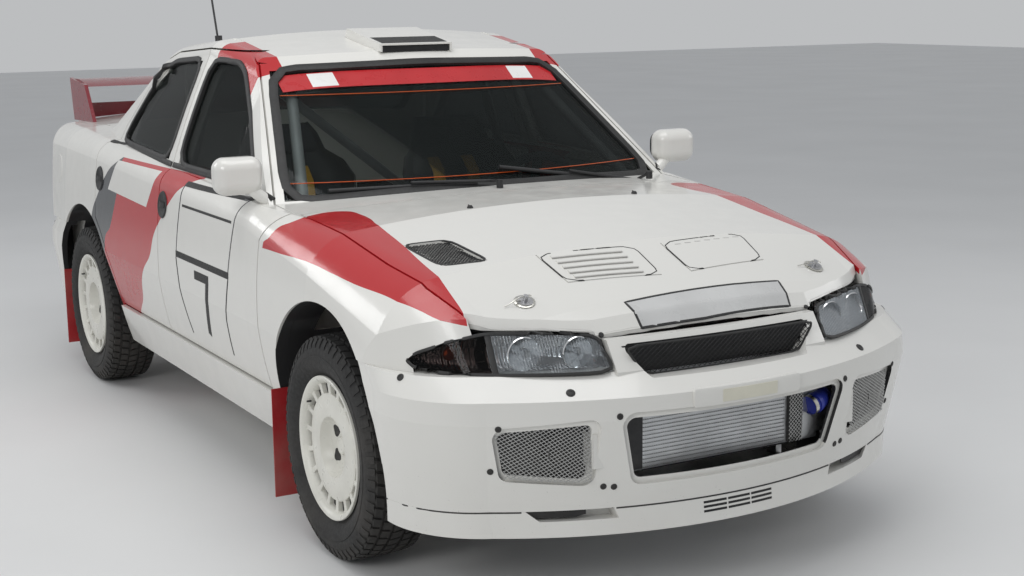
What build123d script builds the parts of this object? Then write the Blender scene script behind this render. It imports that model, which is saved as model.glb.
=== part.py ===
from build123d import *
import os
from math import atan2, cos, hypot, sin, sqrt

os.makedirs("parts", exist_ok=True)

# A four-door saloon prepared for gravel rallying. Millimetres, +Z up, nose towards -Y,
# the car's right side towards -X, origin on the ground under the middle of the car.

# Overall sizes
LENGTH = 4310.0
WHEELBASE = 2510.0
FRONT_OVERHANG = 870.0
FRONT_TRACK = 1465.0
REAR_TRACK = 1470.0
ROOF_Z = 1462.0
BUMPER_HALF_WIDTH = 850.0
GAP = 6.0  # shut line round a door or lid
FIT = 0.3  # clearance of a seated piece

NOSE_Y = -LENGTH / 2
TAIL_Y = LENGTH / 2
FRONT_AXLE_Y = NOSE_Y + FRONT_OVERHANG
REAR_AXLE_Y = FRONT_AXLE_Y + WHEELBASE

# Walls
DOOR_WALL = 72.0
SKIN_WALL = 22.0
PILLAR_WALL = 46.0
PILLAR_FACE = 30.0
PILLAR_DEPTH = 34.0
FRAME = 26.0
FLOOR_WALL = 18.0
DOOR_LIP = 14.0
DOOR_STEP = 20.0
GLASS = 5.0
GLASS_SETBACK = 8.0
FENDER_WALL = 40.0
VENT_DEPTH = 14.0
PANEL_DEPTH = 7.0
PANEL_PROUD = 2.0

# Wheels and their housings
TYRE_RADIUS = 325.0
TYRE_WIDTH = 205.0
TREAD_WIDTH = 168.0
RIM_WIDTH = 184.0
RIM_RADIUS = 208.0
BEAD_RADIUS = 190.0
ARCH_RADIUS = 398.0
ARCH_Z = 350.0
HOUSING_WALL = 10.0
FRONT_HOUSING_X = 445.0
REAR_HOUSING_X = 560.0

# Lower body, sections from nose to tail. Columns: y, then half width and height of the sill,
# of the waist ridge, of the shoulder and of the deck's edge, and the height of the deck's middle.
BODY_SECTIONS = (
    (-2130, 740, 285, 790, 560, 760, 600, 560, 625, 668),
    (-1900, 770, 285, 832, 580, 796, 648, 596, 752, 800),
    (-1650, 775, 285, 846, 590, 826, 720, 640, 858, 902),
    (-1200, 765, 285, 845, 592, 834, 815, 690, 926, 968),
    (-700, 765, 285, 839, 594, 822, 880, 770, 950, 975),
    (200, 766, 285, 839, 596, 820, 918, 768, 988, 1015),
    (1100, 768, 285, 846, 600, 824, 952, 755, 1028, 1060),
    (1500, 772, 290, 846, 605, 820, 958, 735, 1042, 1076),
    (2130, 760, 320, 815, 620, 785, 955, 690, 1030, 1060),
)

ROUND_OVER = 0.14  # how far the shoulder arc bulges, as a share of its chord

# Cabin, sections along the car. Columns: y, half width of the foot, then half width and height
# of the rail and of the roof's edge, and the height of the roof's middle.
CABIN_FOOT_Z = 900.0
CABIN_SECTIONS = (
    (-1000, 750, 745, 1010, 690, 1062, 1082),
    (-300, 770, 592, 1312, 520, 1366, 1386),
    (200, 800, 606, 1384, 545, 1436, ROOF_Z),
    (800, 788, 596, 1336, 515, 1390, 1414),
    (1500, 735, 628, 1060, 560, 1110, 1132),
)

# Screens: foot and head of the middle line as (y, z), and the plan radius of their bend
SCREEN_FOOT = (-853.0, 953.0)
SCREEN_HEAD = (-301.0, 1345.0)
SCREEN_BEND = 3200.0
REAR_SCREEN_FOOT = (1405.0, 1065.0)
REAR_SCREEN_HEAD = (772.0, 1404.0)
REAR_SCREEN_BEND = 2800.0
SCREEN_WALL = 24.0

# Nose above the bumper as plan curves at two heights. Columns: height, then the middle's y, and
# (x, y) of the flat's end, of the sweep's middle and end, of the corner's middle and end.
NOSE_CURVES = (
    (100, -2068, (350, -2046), (515, -1982), (658, -1890), (780, -1762), (850, -1498)),
    (640, -2068, (350, -2046), (515, -1982), (658, -1890), (780, -1762), (850, -1498)),
    (1000, -1805, (350, -1798), (510, -1783), (640, -1745), (765, -1668), (850, -1440)),
    (1600, -1805, (350, -1798), (510, -1783), (640, -1745), (765, -1668), (850, -1440)),
)

# Bulkheads and lids
FIREWALL_Y = -880.0
BULKHEAD = 24.0
BOOT_FRONT_Y = 1300.0
UPPER_TAIL_SETBACK = 55.0
BUMPER_TOP_Z = 640.0
LEDGE_Z = 588.0
BUMPER_WALL = 24.0
LIP_TOP_Z = 290.0
SURROUND_TOP_Z = 715.0
SURROUND_WALL = 24.0
FLANGE = 16.0
FLANGE_DEPTH = 11.0
BOOT_SILL_Z = 800.0

# Doors: outlines as (y, z)
DOOR_SILL_Z = 398.0
FRONT_DOOR_Y = -805.0
MIDDLE_DOOR_Y = 198.0
BOOT_FLOOR_Z = 470.0
LAMP_DEPTH = 80.0
RAIL_X0 = 375.0
RAIL_X1 = 435.0
FRONT_RAIL_Y = -2020.0
REAR_RAIL_Y = 2030.0
FLOOR_TOP_Z = 285.0 + FLOOR_WALL
SEAT_X = 350.0
FLAP_TOP_Z = 415.0
HOOP_Y = 330.0
MIRROR_PLACE = (-826.0, -640.0, 1042.0)


def keep(piece, label):
    """Labels a finished piece and writes it."""
    piece.label = label
    export_step(piece, f"parts/{label}.step")


def bulged(start, end, sagitta):
    """An arc from start to end that stands out by sagitta to the right of the way there."""
    run_x, run_y = end[0] - start[0], end[1] - start[1]
    length = hypot(run_x, run_y)
    middle = ((start[0] + end[0]) / 2, (start[1] + end[1]) / 2)
    through = (middle[0] + run_y / length * sagitta, middle[1] - run_x / length * sagitta)
    return ThreePointArc(start, through, end)


def flipped(point):
    return (-point[0], point[1])


def body_loft(side, top, bottom):
    """The lower body's form, drawn in by side, top and bottom."""
    with BuildPart() as form:
        for y, sill_x, sill_z, waist_x, waist_z, shoulder_x, shoulder_z, *deck in BODY_SECTIONS:
            edge_x, edge_z, deck_z = deck
            sill = (sill_x - side, sill_z + bottom)
            waist = (waist_x - side, waist_z)
            shoulder = (shoulder_x - side, shoulder_z - top / 3)
            edge = (edge_x - side / 2, edge_z - top)
            round_over = hypot(shoulder[0] - edge[0], shoulder[1] - edge[1]) * ROUND_OVER
            with BuildSketch(Plane.XZ.offset(-y)):
                with BuildLine():
                    Line(flipped(sill), sill)
                    bulged(sill, waist, 10)
                    bulged(waist, shoulder, 6)
                    bulged(shoulder, edge, round_over)
                    ThreePointArc(edge, (0, deck_z - top), flipped(edge))
                    bulged(flipped(edge), flipped(shoulder), round_over)
                    bulged(flipped(shoulder), flipped(waist), 6)
                    bulged(flipped(waist), flipped(sill), 10)
                make_face()
        loft(ruled=True)
    return form.part


def cabin_loft(side, roof):
    """The cabin's form above the waist, drawn in by side and roof."""
    with BuildPart() as form:
        for y, foot_x, rail_x, rail_z, edge_x, edge_z, roof_z in CABIN_SECTIONS:
            foot = (foot_x - side, CABIN_FOOT_Z)
            rail = (rail_x - side, rail_z - roof / 3)
            edge = (edge_x - side / 2, edge_z - roof)
            with BuildSketch(Plane.XZ.offset(-y)):
                with BuildLine():
                    Line(flipped(foot), foot)
                    bulged(foot, rail, 9)
                    bulged(rail, edge, 16)
                    ThreePointArc(edge, (0, roof_z - roof), flipped(edge))
                    bulged(flipped(edge), flipped(rail), 16)
                    bulged(flipped(rail), flipped(foot), 9)
                make_face()
        loft(ruled=True)
    return form.part


def screen_block(foot, head, bend, inset):
    """Everything behind a screen's bent outer surface, moved in by inset."""
    facing = 1 if head[0] > foot[0] else -1
    rake = atan2(head[1] - foot[1], (head[0] - foot[0]) * facing)
    slope = Plane(origin=(0, foot[0], foot[1]), x_dir=(facing, 0, 0),
                  z_dir=(0, facing * cos(rake), sin(rake)))
    half = 1000.0
    deep = inset + bend - sqrt(bend**2 - half**2)
    with BuildPart() as block:
        with BuildSketch(slope.offset(-1400)):
            with BuildLine():
                ThreePointArc((-half, deep), (0, inset), (half, deep))
                Polyline((half, deep), (half, 2600), (-half, 2600), (-half, deep))
            make_face()
        extrude(amount=3400)
    return block.part


def plan_face(tip_y, toward, half_width, z, back_y=0.0):
    """The bumper's plan curve at height z as a face; toward is -1 at the nose, 1 at the tail."""
    face_x = half_width - 170
    corner_y = tip_y - toward * 188
    turn = (half_width - 48, tip_y - toward * 292)
    side = (half_width, tip_y - toward * 488)
    with BuildSketch(Plane.XY.offset(z)) as face:
        with BuildLine():
            ThreePointArc((-face_x, corner_y), (0, tip_y), (face_x, corner_y))
            ThreePointArc((face_x, corner_y), turn, side)
            Polyline(side, (half_width, back_y), (-half_width, back_y), flipped(side))
            ThreePointArc(flipped(side), flipped(turn), (-face_x, corner_y))
        make_face()
    return face.sketch


def plan_form(tip_y, toward, half_width, low, high):
    """An upright block that ends in the bumper's plan curve."""
    with BuildPart() as form:
        add(plan_face(tip_y, toward, half_width, low, -toward * 3000))
        extrude(amount=high - low)
    return form.part


def bumper_form(toward, wall, low, high):
    """A bumper's outer form between two heights, drawn in by wall."""
    tip = toward * LENGTH / 2
    with BuildPart() as form:
        for z, setback, narrowing in ((low, 42, 26), (530, 0, 0), (LEDGE_Z, 5, 1), (high, 76, 8)):
            tip_y, half_width = tip - toward * (setback + wall), BUMPER_HALF_WIDTH - narrowing - wall
            add(plan_face(tip_y, toward, half_width, z, toward * 1400))
        loft(ruled=True)
    return form.part


def nose_form(setback):
    """Everything behind the nose's surface moved back by setback."""
    with BuildPart() as form:
        for z, middle_y, flat, sweep, bend, corner, side in NOSE_CURVES:
            points = flat, sweep, bend, corner, side
            flat, sweep, bend, corner, side = [(x, y + setback) for x, y in points]
            with BuildSketch(Plane.XY.offset(z)):
                with BuildLine():
                    ThreePointArc(flipped(flat), (0, middle_y + setback), flat)
                    ThreePointArc(flat, sweep, bend)
                    ThreePointArc(bend, corner, side)
                    Polyline(side, (side[0], 3000), (-side[0], 3000), flipped(side))
                    ThreePointArc(flipped(side), flipped(corner), flipped(bend))
                    ThreePointArc(flipped(bend), flipped(sweep), flipped(flat))
                make_face()
        loft(ruled=True)
    return form.part


def tail_form(setback):
    return plan_form(TAIL_Y - UPPER_TAIL_SETBACK - setback, 1, 856, 100, 1600)


def hull(side, top, bottom, cabin, roof, ends):
    """The body's outer form, drawn in by the walls named."""
    lower = body_loft(side, top, bottom) & nose_form(ends) & tail_form(ends)
    glazing = min(roof, SCREEN_WALL)
    upper = cabin_loft(cabin, roof) & screen_block(SCREEN_FOOT, SCREEN_HEAD, SCREEN_BEND, glazing)
    upper = upper & screen_block(REAR_SCREEN_FOOT, REAR_SCREEN_HEAD, REAR_SCREEN_BEND, glazing)
    return lower + upper


def box(x0, x1, y0, y1, z0, z1):
    with BuildPart() as block:
        with Locations(((x0 + x1) / 2, (y0 + y1) / 2, (z0 + z1) / 2)):
            Box(x1 - x0, y1 - y0, z1 - z0)
    return block.part


def rod(start, end, radius):
    """A round bar from start to end."""
    way = Vector(*end) - Vector(*start)
    with BuildPart() as bar:
        with BuildSketch(Plane(origin=start, z_dir=way)):
            Circle(radius)
        extrude(amount=way.length)
    return bar.part


def side_prism(outline, grow, x0, x1):
    """A side-view outline of (y, z) points, grown by grow and run from x0 to x1."""
    with BuildPart() as prism:
        with BuildSketch(Plane.YZ.offset(x0)):
            with BuildLine():
                Polyline(*outline, close=True)
            make_face()
            if grow:
                offset(amount=grow, kind=Kind.INTERSECTION)
        extrude(amount=x1 - x0)
    return prism.part


def plan_prism(outline, grow, z0, z1):
    with BuildPart() as prism:
        with BuildSketch(Plane.XY.offset(z0)):
            with BuildLine():
                Polyline(*outline, close=True)
            make_face()
            if grow:
                offset(amount=grow, kind=Kind.INTERSECTION)
        extrude(amount=z1 - z0)
    return prism.part


def front_prism(outline, grow, y0, y1, corner=0):
    """A front-view outline of (x, z) points, its corners rounded, run from y0 back to y1."""
    with BuildPart() as prism:
        with BuildSketch(Plane.XZ.offset(-y1)) as face:
            with BuildLine():
                Polyline(*outline, close=True)
            make_face()
            if grow:
                offset(amount=grow, kind=Kind.INTERSECTION)
            if corner:
                fillet(face.vertices(), corner)
        extrude(amount=y1 - y0)
    return prism.part


def across(radius, y, z, x0, x1):
    """A cylinder along X."""
    with BuildPart() as bar:
        with BuildSketch(Plane.YZ.offset(x0)):
            with Locations((y, z)):
                Circle(radius)
        extrude(amount=x1 - x0)
    return bar.part


def both(piece):
    return piece + mirror(piece, about=Plane.YZ)


OUTER = hull(0, 0, 0, 0, 0, 0)
INNER = hull(DOOR_WALL, SKIN_WALL, FLOOR_WALL, PILLAR_WALL, SCREEN_WALL, 30)
LIP = hull(DOOR_LIP, DOOR_LIP, 0, DOOR_LIP, DOOR_LIP, 20)
FENDER_INNER = body_loft(FENDER_WALL, FENDER_WALL, 0) & nose_form(60)
FENDER_SEAT = body_loft(FENDER_WALL + FIT, FENDER_WALL + FIT, 0) & nose_form(60 + FIT)

# Outlines of the openings
BONNET_OUTLINE = ((-720, -904), (-500, -926), (-250, -943), (0, -949), (250, -943), (500, -926),
                  (720, -904), (714, -1200), (706, -1480), (688, -1675), (658, -1795), (638, -1900),
                  (620, -2200), (-620, -2200), (-638, -1900), (-658, -1795), (-688, -1675), (-706, -1480),
                  (-714, -1200))
BOOT_OUTLINE = ((-640, 1452), (-330, 1484), (0, 1494), (330, 1484), (640, 1452), (668, 1700), (650, 2300),
                (-650, 2300), (-668, 1700))
FRONT_SHUT_Y = MIDDLE_DOOR_Y - GAP / 2
REAR_SHUT_Y = MIDDLE_DOOR_Y + GAP / 2
FRONT_DOOR = ((FRONT_DOOR_Y, DOOR_SILL_Z), (FRONT_SHUT_Y, DOOR_SILL_Z), (FRONT_SHUT_Y, 1000), (208, 1404),
              (-60, 1398), (-215, 1352), (-735, 985), (-880, 962), (FRONT_DOOR_Y, 860))
REAR_DOOR = ((REAR_SHUT_Y, DOOR_SILL_Z), (1012, DOOR_SILL_Z), (1012, 1012), (985, 1080), (760, 1340),
             (620, 1380), (214, 1404), (REAR_SHUT_Y, 1000))
MIDDLE_PILLAR = ((MIDDLE_DOOR_Y - 14, 380), (MIDDLE_DOOR_Y + 17, 380), (MIDDLE_DOOR_Y + 17, 1000),
                 (MIDDLE_DOOR_Y + 30, 1415), (MIDDLE_DOOR_Y - 1, 1415), (MIDDLE_DOOR_Y - 14, 1000))
FRONT_WINDOW = ((-608, 990), (150, 1006), (158, 1362), (-62, 1358), (-165, 1322))
REAR_WINDOW = ((262, 1012), (935, 1032), (905, 1095), (712, 1312), (600, 1342), (262, 1362))
SCREEN_OUTLINE = ((-700, 958), (-350, 972), (0, 977), (350, 972), (700, 958), (548, 1340), (0, 1352),
                  (-548, 1340))
REAR_SCREEN_OUTLINE = ((-640, 1078), (0, 1094), (640, 1078), (530, 1356), (0, 1372), (-530, 1356))
TAIL_OUTLINE = ((-682, 745), (-682, 905), (-800, 895), (-812, 750))
LAMP_OUTLINE = ((346, 643), (361, 727), (480, 738), (620, 742), (705, 722), (768, 690), (786, 668),
                (776, 654), (730, 645), (655, 643))
LAMP_BED = ((346, 600), *LAMP_OUTLINE[1:8], (776, 600))
INTAKE = ((-349, 533), (349, 533), (307, 365), (-307, 365))
FOG_OPENING = ((-651, 507), (-429, 523), (-432, 372), (-625, 392))
GRILLE_OPENING = ((-311, 702), (311, 702), (254, 622), (-254, 622))
LIP_SCOOP = ((-575, 292), (-360, 292), (-348, 262), (-540, 262))
MESH_VENT = ((-616, -1388), (-495, -1420), (-478, -1619), (-601, -1583))
LOUVRE_PANEL = ((-348, -1652), (-46, -1679), (-49, -1825), (-329, -1791))

front_arches = both(across(ARCH_RADIUS, FRONT_AXLE_Y, ARCH_Z, -1000, -FRONT_HOUSING_X))
rear_arches = both(across(ARCH_RADIUS, REAR_AXLE_Y, ARCH_Z, -1000, -REAR_HOUSING_X))
cowl_end = box(-735, 735, -900, -735, 900, 1100)


side_space = box(-900, -480, -900, 1030, 380, 1415)
side_outer = OUTER & side_space
side_lip = LIP & side_space
side_inner = INNER & side_space
side_skin = side_outer - side_lip
side_body = side_lip - side_inner
bonnet_space = box(-760, 760, -2100, -890, 650, 1200)
boot_space = box(-680, 680, 1440, 2200, BOOT_SILL_Z, 1200)


def pillar_zone(gap):
    """The room of the screens and their pillars, drawn in by gap."""
    front = front_prism(SCREEN_OUTLINE, PILLAR_FACE - gap, -1000, -180 - gap)
    front -= screen_block(SCREEN_FOOT, SCREEN_HEAD, SCREEN_BEND, PILLAR_DEPTH - gap)
    rear = front_prism(REAR_SCREEN_OUTLINE, PILLAR_FACE - gap, 720 + gap, 1500)
    rear -= screen_block(REAR_SCREEN_FOOT, REAR_SCREEN_HEAD, REAR_SCREEN_BEND, PILLAR_DEPTH - gap)
    return front + rear


def door_solid(outline):
    """A right-hand door: an outer skin with a lip over a smaller inner body."""
    skin = side_skin & side_prism(outline, 0, -900, -480)
    inside = side_body & side_prism(outline, -DOOR_STEP, -900, -480)
    rear_edge = across(ARCH_RADIUS + 30, REAR_AXLE_Y, ARCH_Z, -1000, 0)
    inner_edge = across(ARCH_RADIUS + 30 + DOOR_STEP, REAR_AXLE_Y, ARCH_Z, -1000, 0)
    return (skin - rear_edge) + (inside - inner_edge) - cowl_end - pillar_zone(0)


def aperture(outline):
    """The hole in the body round a right-hand door."""
    hole = side_prism(outline, GAP, -1000, -480) - pillar_zone(GAP)
    hole -= across(ARCH_RADIUS + 30 - GAP, REAR_AXLE_Y, ARCH_Z, -1000, 0)
    return hole - box(-735 + GAP, 735 - GAP, -910, -735 - GAP, 900, 1100)


# Body shell: the outer form less its bays and openings, with wheel housings and rails
shell = OUTER
shell -= INNER & box(-900, 900, -2200, FIREWALL_Y - BULKHEAD, 0, 1600)
shell -= INNER & box(-900, 900, FIREWALL_Y, BOOT_FRONT_Y, 0, 1600)
boot_bay = box(-735, 735, BOOT_FRONT_Y + BULKHEAD, 2035, BOOT_FLOOR_Z, 1600)
shell -= INNER & boot_bay & plan_form(TAIL_Y - 122, 1, 773, 400, 1600)
housing_radius = ARCH_RADIUS + HOUSING_WALL
housings = both(across(housing_radius, FRONT_AXLE_Y, ARCH_Z, -1000, -FRONT_HOUSING_X + HOUSING_WALL))
housings += both(across(housing_radius, REAR_AXLE_Y, ARCH_Z, -1000, -REAR_HOUSING_X + HOUSING_WALL))
shell += housings & OUTER
shell -= front_arches
shell -= rear_arches
fender_side = ((-2100, BUMPER_TOP_Z + FIT), (FRONT_AXLE_Y, BUMPER_TOP_Z + FIT), (FRONT_AXLE_Y, 200),
               (FRONT_DOOR_Y - GAP, 200), (FRONT_DOOR_Y - GAP, 860), (-886, 962), (-898, 962), (-898, 1100),
               (-2100, 1100))
bonnet_hole = plan_prism(BONNET_OUTLINE, GAP, 600, 1200)
fender_zone = both(side_prism(fender_side, 0, -1000, -500))
shell -= both(side_prism(fender_side, FIT, -1000, -500)) - FENDER_SEAT
shell -= bonnet_hole
shell -= plan_prism(BOOT_OUTLINE, GAP, BOOT_SILL_Z - GAP, 1300)
shell -= box(-700, 700, -2200, -1760, 0, 1200)
shell -= box(-1000, 1000, -2200, -1600, 0, BUMPER_TOP_Z + 2 * FIT)
bumper_inside_x = BUMPER_HALF_WIDTH - 55
shell -= both(box(-1000, -bumper_inside_x + FIT, -1601, FRONT_AXLE_Y, 400, BUMPER_TOP_Z + 2 * FIT))
boot_tub = box(-760, 760, 1200, 2050, BOOT_FLOOR_Z - 18, 700) & plan_form(TAIL_Y - 102, 1, 793, 400, 800)
shell -= box(-1000, 1000, 1490, 2200, 0, BUMPER_TOP_Z + FIT) - boot_tub
for outline in (FRONT_DOOR, REAR_DOOR):
    shell -= both(aperture(outline))
shell -= front_prism(SCREEN_OUTLINE, 0, -1000, -200)
shell -= front_prism(REAR_SCREEN_OUTLINE, 0, 700, 1500)
# Middle pillars between the doors, and hinge leaves that meet the doors' inner front edges
middle_pillar = Pos(GAP, 0, 0) * side_body
middle_pillar = middle_pillar & side_prism(MIDDLE_PILLAR, 0, -900, -480)
for z in (560, 760):
    middle_pillar += box(-805, -780, MIDDLE_DOOR_Y + 16, REAR_SHUT_Y + DOOR_STEP - FIT, z, z + 60)
    shell += both(box(-788, -768, FRONT_DOOR_Y - GAP - 1, FRONT_DOOR_Y + DOOR_STEP - FIT, z, z + 60))
shell += both(middle_pillar)
shell += both(box(-RAIL_X1, -RAIL_X0, FRONT_RAIL_Y, FIREWALL_Y - 2, 400, 500))
front_panel = (nose_form(LAMP_DEPTH + FIT) - nose_form(LAMP_DEPTH + 25)) & (
    box(-455, 455, -2200, -1700, 400, 700) + box(-600, 600, -2200, -1700, BUMPER_TOP_Z + 2 * FIT, 700))
shell += front_panel - box(-325, 325, -2200, -1700, 380, 676)
shell += both(box(-RAIL_X1, -RAIL_X0, 1950, REAR_RAIL_Y, 470, 560))
tail_hole = both(front_prism(TAIL_OUTLINE, FIT, 1650, 2300)) - tail_form(LAMP_DEPTH + FIT)
shell -= tail_hole
lamp_hole = both(front_prism(LAMP_BED, FIT, -2200, -1600)) - nose_form(LAMP_DEPTH + FIT)
shell -= lamp_hole
pads = both(rod((-280, -1920, 690), (-280, -1920, 800), 9)) & body_loft(0, SKIN_WALL + FIT, 0)
shell += pads + both(rod((-480, 1990, 770), (-480, 1990, BOOT_SILL_Z - FIT), 9))
keep(shell, "body_shell")

front_fenders = (body_loft(0, 0, 0) & nose_form(0) & fender_zone) - FENDER_INNER - bonnet_hole - front_arches
front_fenders -= both(front_prism(LAMP_BED, 2, -2200, -1600)) + box(-600, 600, -2200, -1850, 0, 1200)
keep(front_fenders, "front_fenders")

bonnet = (body_loft(0, 0, 0) & bonnet_space & nose_form(SKIN_WALL)) - body_loft(0, SKIN_WALL, 0)
bonnet = bonnet & plan_prism(BONNET_OUTLINE, 0, 600, 1200)
bonnet -= both(front_prism(LAMP_BED, GAP, -2200, -1600))
bonnet -= box(-600, 600, -2200, -1950, 600, SURROUND_TOP_Z + GAP)
vent_recess = body_loft(0, 0, 0) - body_loft(0, VENT_DEPTH, 0)
panel_recess = body_loft(0, 0, 0) - body_loft(0, PANEL_DEPTH, 0)
bonnet -= plan_prism(MESH_VENT, 0, 700, 1200) & vent_recess
bonnet -= both(plan_prism(LOUVRE_PANEL, 0, 700, 1200)) & panel_recess
keep(bonnet, "bonnet")

# Panels let into the bonnet, and its pins
proud = body_loft(0, -PANEL_PROUD, 0)
vents = both(plan_prism(LOUVRE_PANEL, -2, 700, 1200)) & (proud - body_loft(0, PANEL_DEPTH - FIT, 0))
vent_sheet = body_loft(0, VENT_DEPTH - 4, 0) - body_loft(0, VENT_DEPTH - FIT, 0)
vents += plan_prism(MESH_VENT, -FIT, 700, 1200) & vent_sheet
keep(vents, "bonnet_vents")
pin_foot = Vector(-484, -1825, 797)
pin_way = Vector(0, -0.40, 0.92)
pins = both(rod(pin_foot, pin_foot + pin_way * 11, 22) + rod(pin_foot, pin_foot + pin_way * 26, 7))
keep(pins - body_loft(0, -FIT, 0), "bonnet_pins")

boot_lid = ((OUTER & boot_space) - (INNER & boot_space)) & plan_prism(BOOT_OUTLINE, 0, BOOT_SILL_Z, 1300)
keep(boot_lid, "boot_lid")

# Doors and their fixed windows
pane = cabin_loft(GLASS_SETBACK, GLASS_SETBACK) - cabin_loft(GLASS_SETBACK + GLASS, GLASS_SETBACK + GLASS)
for place, outline, window in (("front", FRONT_DOOR, FRONT_WINDOW), ("rear", REAR_DOOR, REAR_WINDOW)):
    door = door_solid(outline) - (side_prism(window, 0, -1000, -400) - pillar_zone(-FRAME))
    glass = (pane & side_prism(window, -FIT, -1000, -400)) - pillar_zone(-FRAME - FIT)
    keep(door, f"door_{place}_right")
    keep(mirror(door, about=Plane.YZ), f"door_{place}_left")
    keep(glass, f"glass_{place}_right")
    keep(mirror(glass, about=Plane.YZ), f"glass_{place}_left")

# Windscreen and rear window
screens = Part()
for foot, head, bend, outline, y0, y1 in (
        (SCREEN_FOOT, SCREEN_HEAD, SCREEN_BEND, SCREEN_OUTLINE, -1000, -200),
        (REAR_SCREEN_FOOT, REAR_SCREEN_HEAD, REAR_SCREEN_BEND, REAR_SCREEN_OUTLINE, 700, 1500)):
    sheet = screen_block(foot, head, bend, GLASS_SETBACK)
    sheet -= screen_block(foot, head, bend, GLASS_SETBACK + GLASS)
    screens += sheet & front_prism(outline, -FIT, y0, y1)
keep(screens, "screens")

# Bumpers
front_bumper = bumper_form(-1, 0, LIP_TOP_Z, BUMPER_TOP_Z)
front_bumper -= bumper_form(-1, BUMPER_WALL, 180, BUMPER_TOP_Z - 18)
front_bumper -= front_arches
front_bumper -= plan_form(NOSE_Y + 130, -1, bumper_inside_x, 100, 700)
surround = nose_form(0) - nose_form(SURROUND_WALL)
front_bumper += surround & box(-341, 341, -2200, -1900, BUMPER_TOP_Z - 12, SURROUND_TOP_Z)
holes = front_prism(INTAKE, 0, -2200, -1900, 22) + both(front_prism(FOG_OPENING, 0, -2200, -1800, 18))
flanges = front_prism(INTAKE, FLANGE, -2200, -1900, 34)
flanges += both(front_prism(FOG_OPENING, FLANGE, -2200, -1800, 30))
front_bumper -= flanges - bumper_form(-1, FLANGE_DEPTH, LIP_TOP_Z, BUMPER_TOP_Z)
front_bumper -= holes
front_bumper -= front_prism(GRILLE_OPENING, 0, -2200, -1900, 14)
front_bumper += both(box(-428, -RAIL_X0, -2070, FRONT_RAIL_Y - FIT, 405, 495))
keep(front_bumper, "front_bumper")

with BuildPart() as chin:
    for z, setback, narrowing in ((220, 34, 36), (LIP_TOP_Z - FIT, 42, 26)):
        add(plan_face(NOSE_Y + setback, -1, BUMPER_HALF_WIDTH - narrowing, z, -1400))
    loft(ruled=True)
chin_hollow = plan_form(NOSE_Y + 96, -1, BUMPER_HALF_WIDTH - 70, 100, 400)
scoops = both(front_prism(LIP_SCOOP, 0, -2200, -1850))
scoops = scoops - plan_form(NOSE_Y + 74, -1, BUMPER_HALF_WIDTH - 60, 100, 400)
keep(chin.part - chin_hollow - front_arches - box(-900, 900, -1640, -1000, 0, 400) - scoops, "chin_spoiler")

rear_bumper = bumper_form(1, 0, 300, BUMPER_TOP_Z) - bumper_form(1, BUMPER_WALL, 200, BUMPER_TOP_Z - 18)
rear_bumper -= rear_arches
rear_bumper -= plan_form(TAIL_Y - 100, 1, bumper_inside_x, 100, 700)
rear_bumper += both(box(-RAIL_X1, -RAIL_X0, REAR_RAIL_Y + FIT, 2080, 475, 555))
keep(rear_bumper, "rear_bumper")

# Lamps
lamp_form = body_loft(0, 2, 0) & nose_form(2)
headlamps = (both(front_prism(LAMP_OUTLINE, 0, -2200, -1600)) & lamp_form) - nose_form(LAMP_DEPTH)
keep(headlamps, "headlamps")
tail_lamps = both(front_prism(TAIL_OUTLINE, 0, 1650, 2300)) & body_loft(0, 0, 0) & tail_form(0)
keep(tail_lamps - tail_form(LAMP_DEPTH), "tail_lamps")

# Coolers between the front rails
coolers = box(-320, 320, -2045, -1985, 372, 530)
coolers += both(box(-RAIL_X0 + FIT, -300, -2040, -1990, 385, 520))
coolers += box(-RAIL_X0 + FIT, RAIL_X0 - FIT, -1925, -1890, 455, 640)
keep(coolers, "cooler_pack")

# Sill covers and mud flaps
sill_space = both(box(-900, -735, -862, 785, 240, DOOR_SILL_Z - GAP))
sills = (body_loft(-12, 0, -38) & sill_space) - body_loft(-FIT, 0, -FIT)
for axle_y in (FRONT_AXLE_Y, REAR_AXLE_Y):
    sills -= across(ARCH_RADIUS, axle_y, ARCH_Z, -1000, 1000)
keep(sills, "sill_covers")
flap_reach = sqrt(ARCH_RADIUS**2 - (FLAP_TOP_Z - ARCH_Z) ** 2) - FIT
flap_y = FRONT_AXLE_Y + flap_reach
rear_flap_y = REAR_AXLE_Y + flap_reach
flaps = both(box(-838, -695, flap_y - 4, flap_y, 73, FLAP_TOP_Z))
flaps += both(box(-838, -695, rear_flap_y - 4, rear_flap_y, 85, FLAP_TOP_Z))
keep(flaps, "mud_flaps")

# Roof vent: an open-fronted scoop
with BuildPart() as scoop:
    with BuildSketch(Plane.YZ.offset(-141)):
        with BuildLine():
            Polyline((-245, 1350), (-245, 1420), (40, 1470), (60, 1440), (-245, 1350))
        make_face()
    extrude(amount=282)
    with BuildSketch(Plane.YZ.offset(-133)):
        with BuildLine():
            Polyline((-260, 1350), (-260, 1412), (20, 1458), (20, 1350), (-260, 1350))
        make_face()
    extrude(amount=266, mode=Mode.SUBTRACT)
keep(scoop.part - cabin_loft(-FIT, -FIT), "roof_vent")

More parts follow.
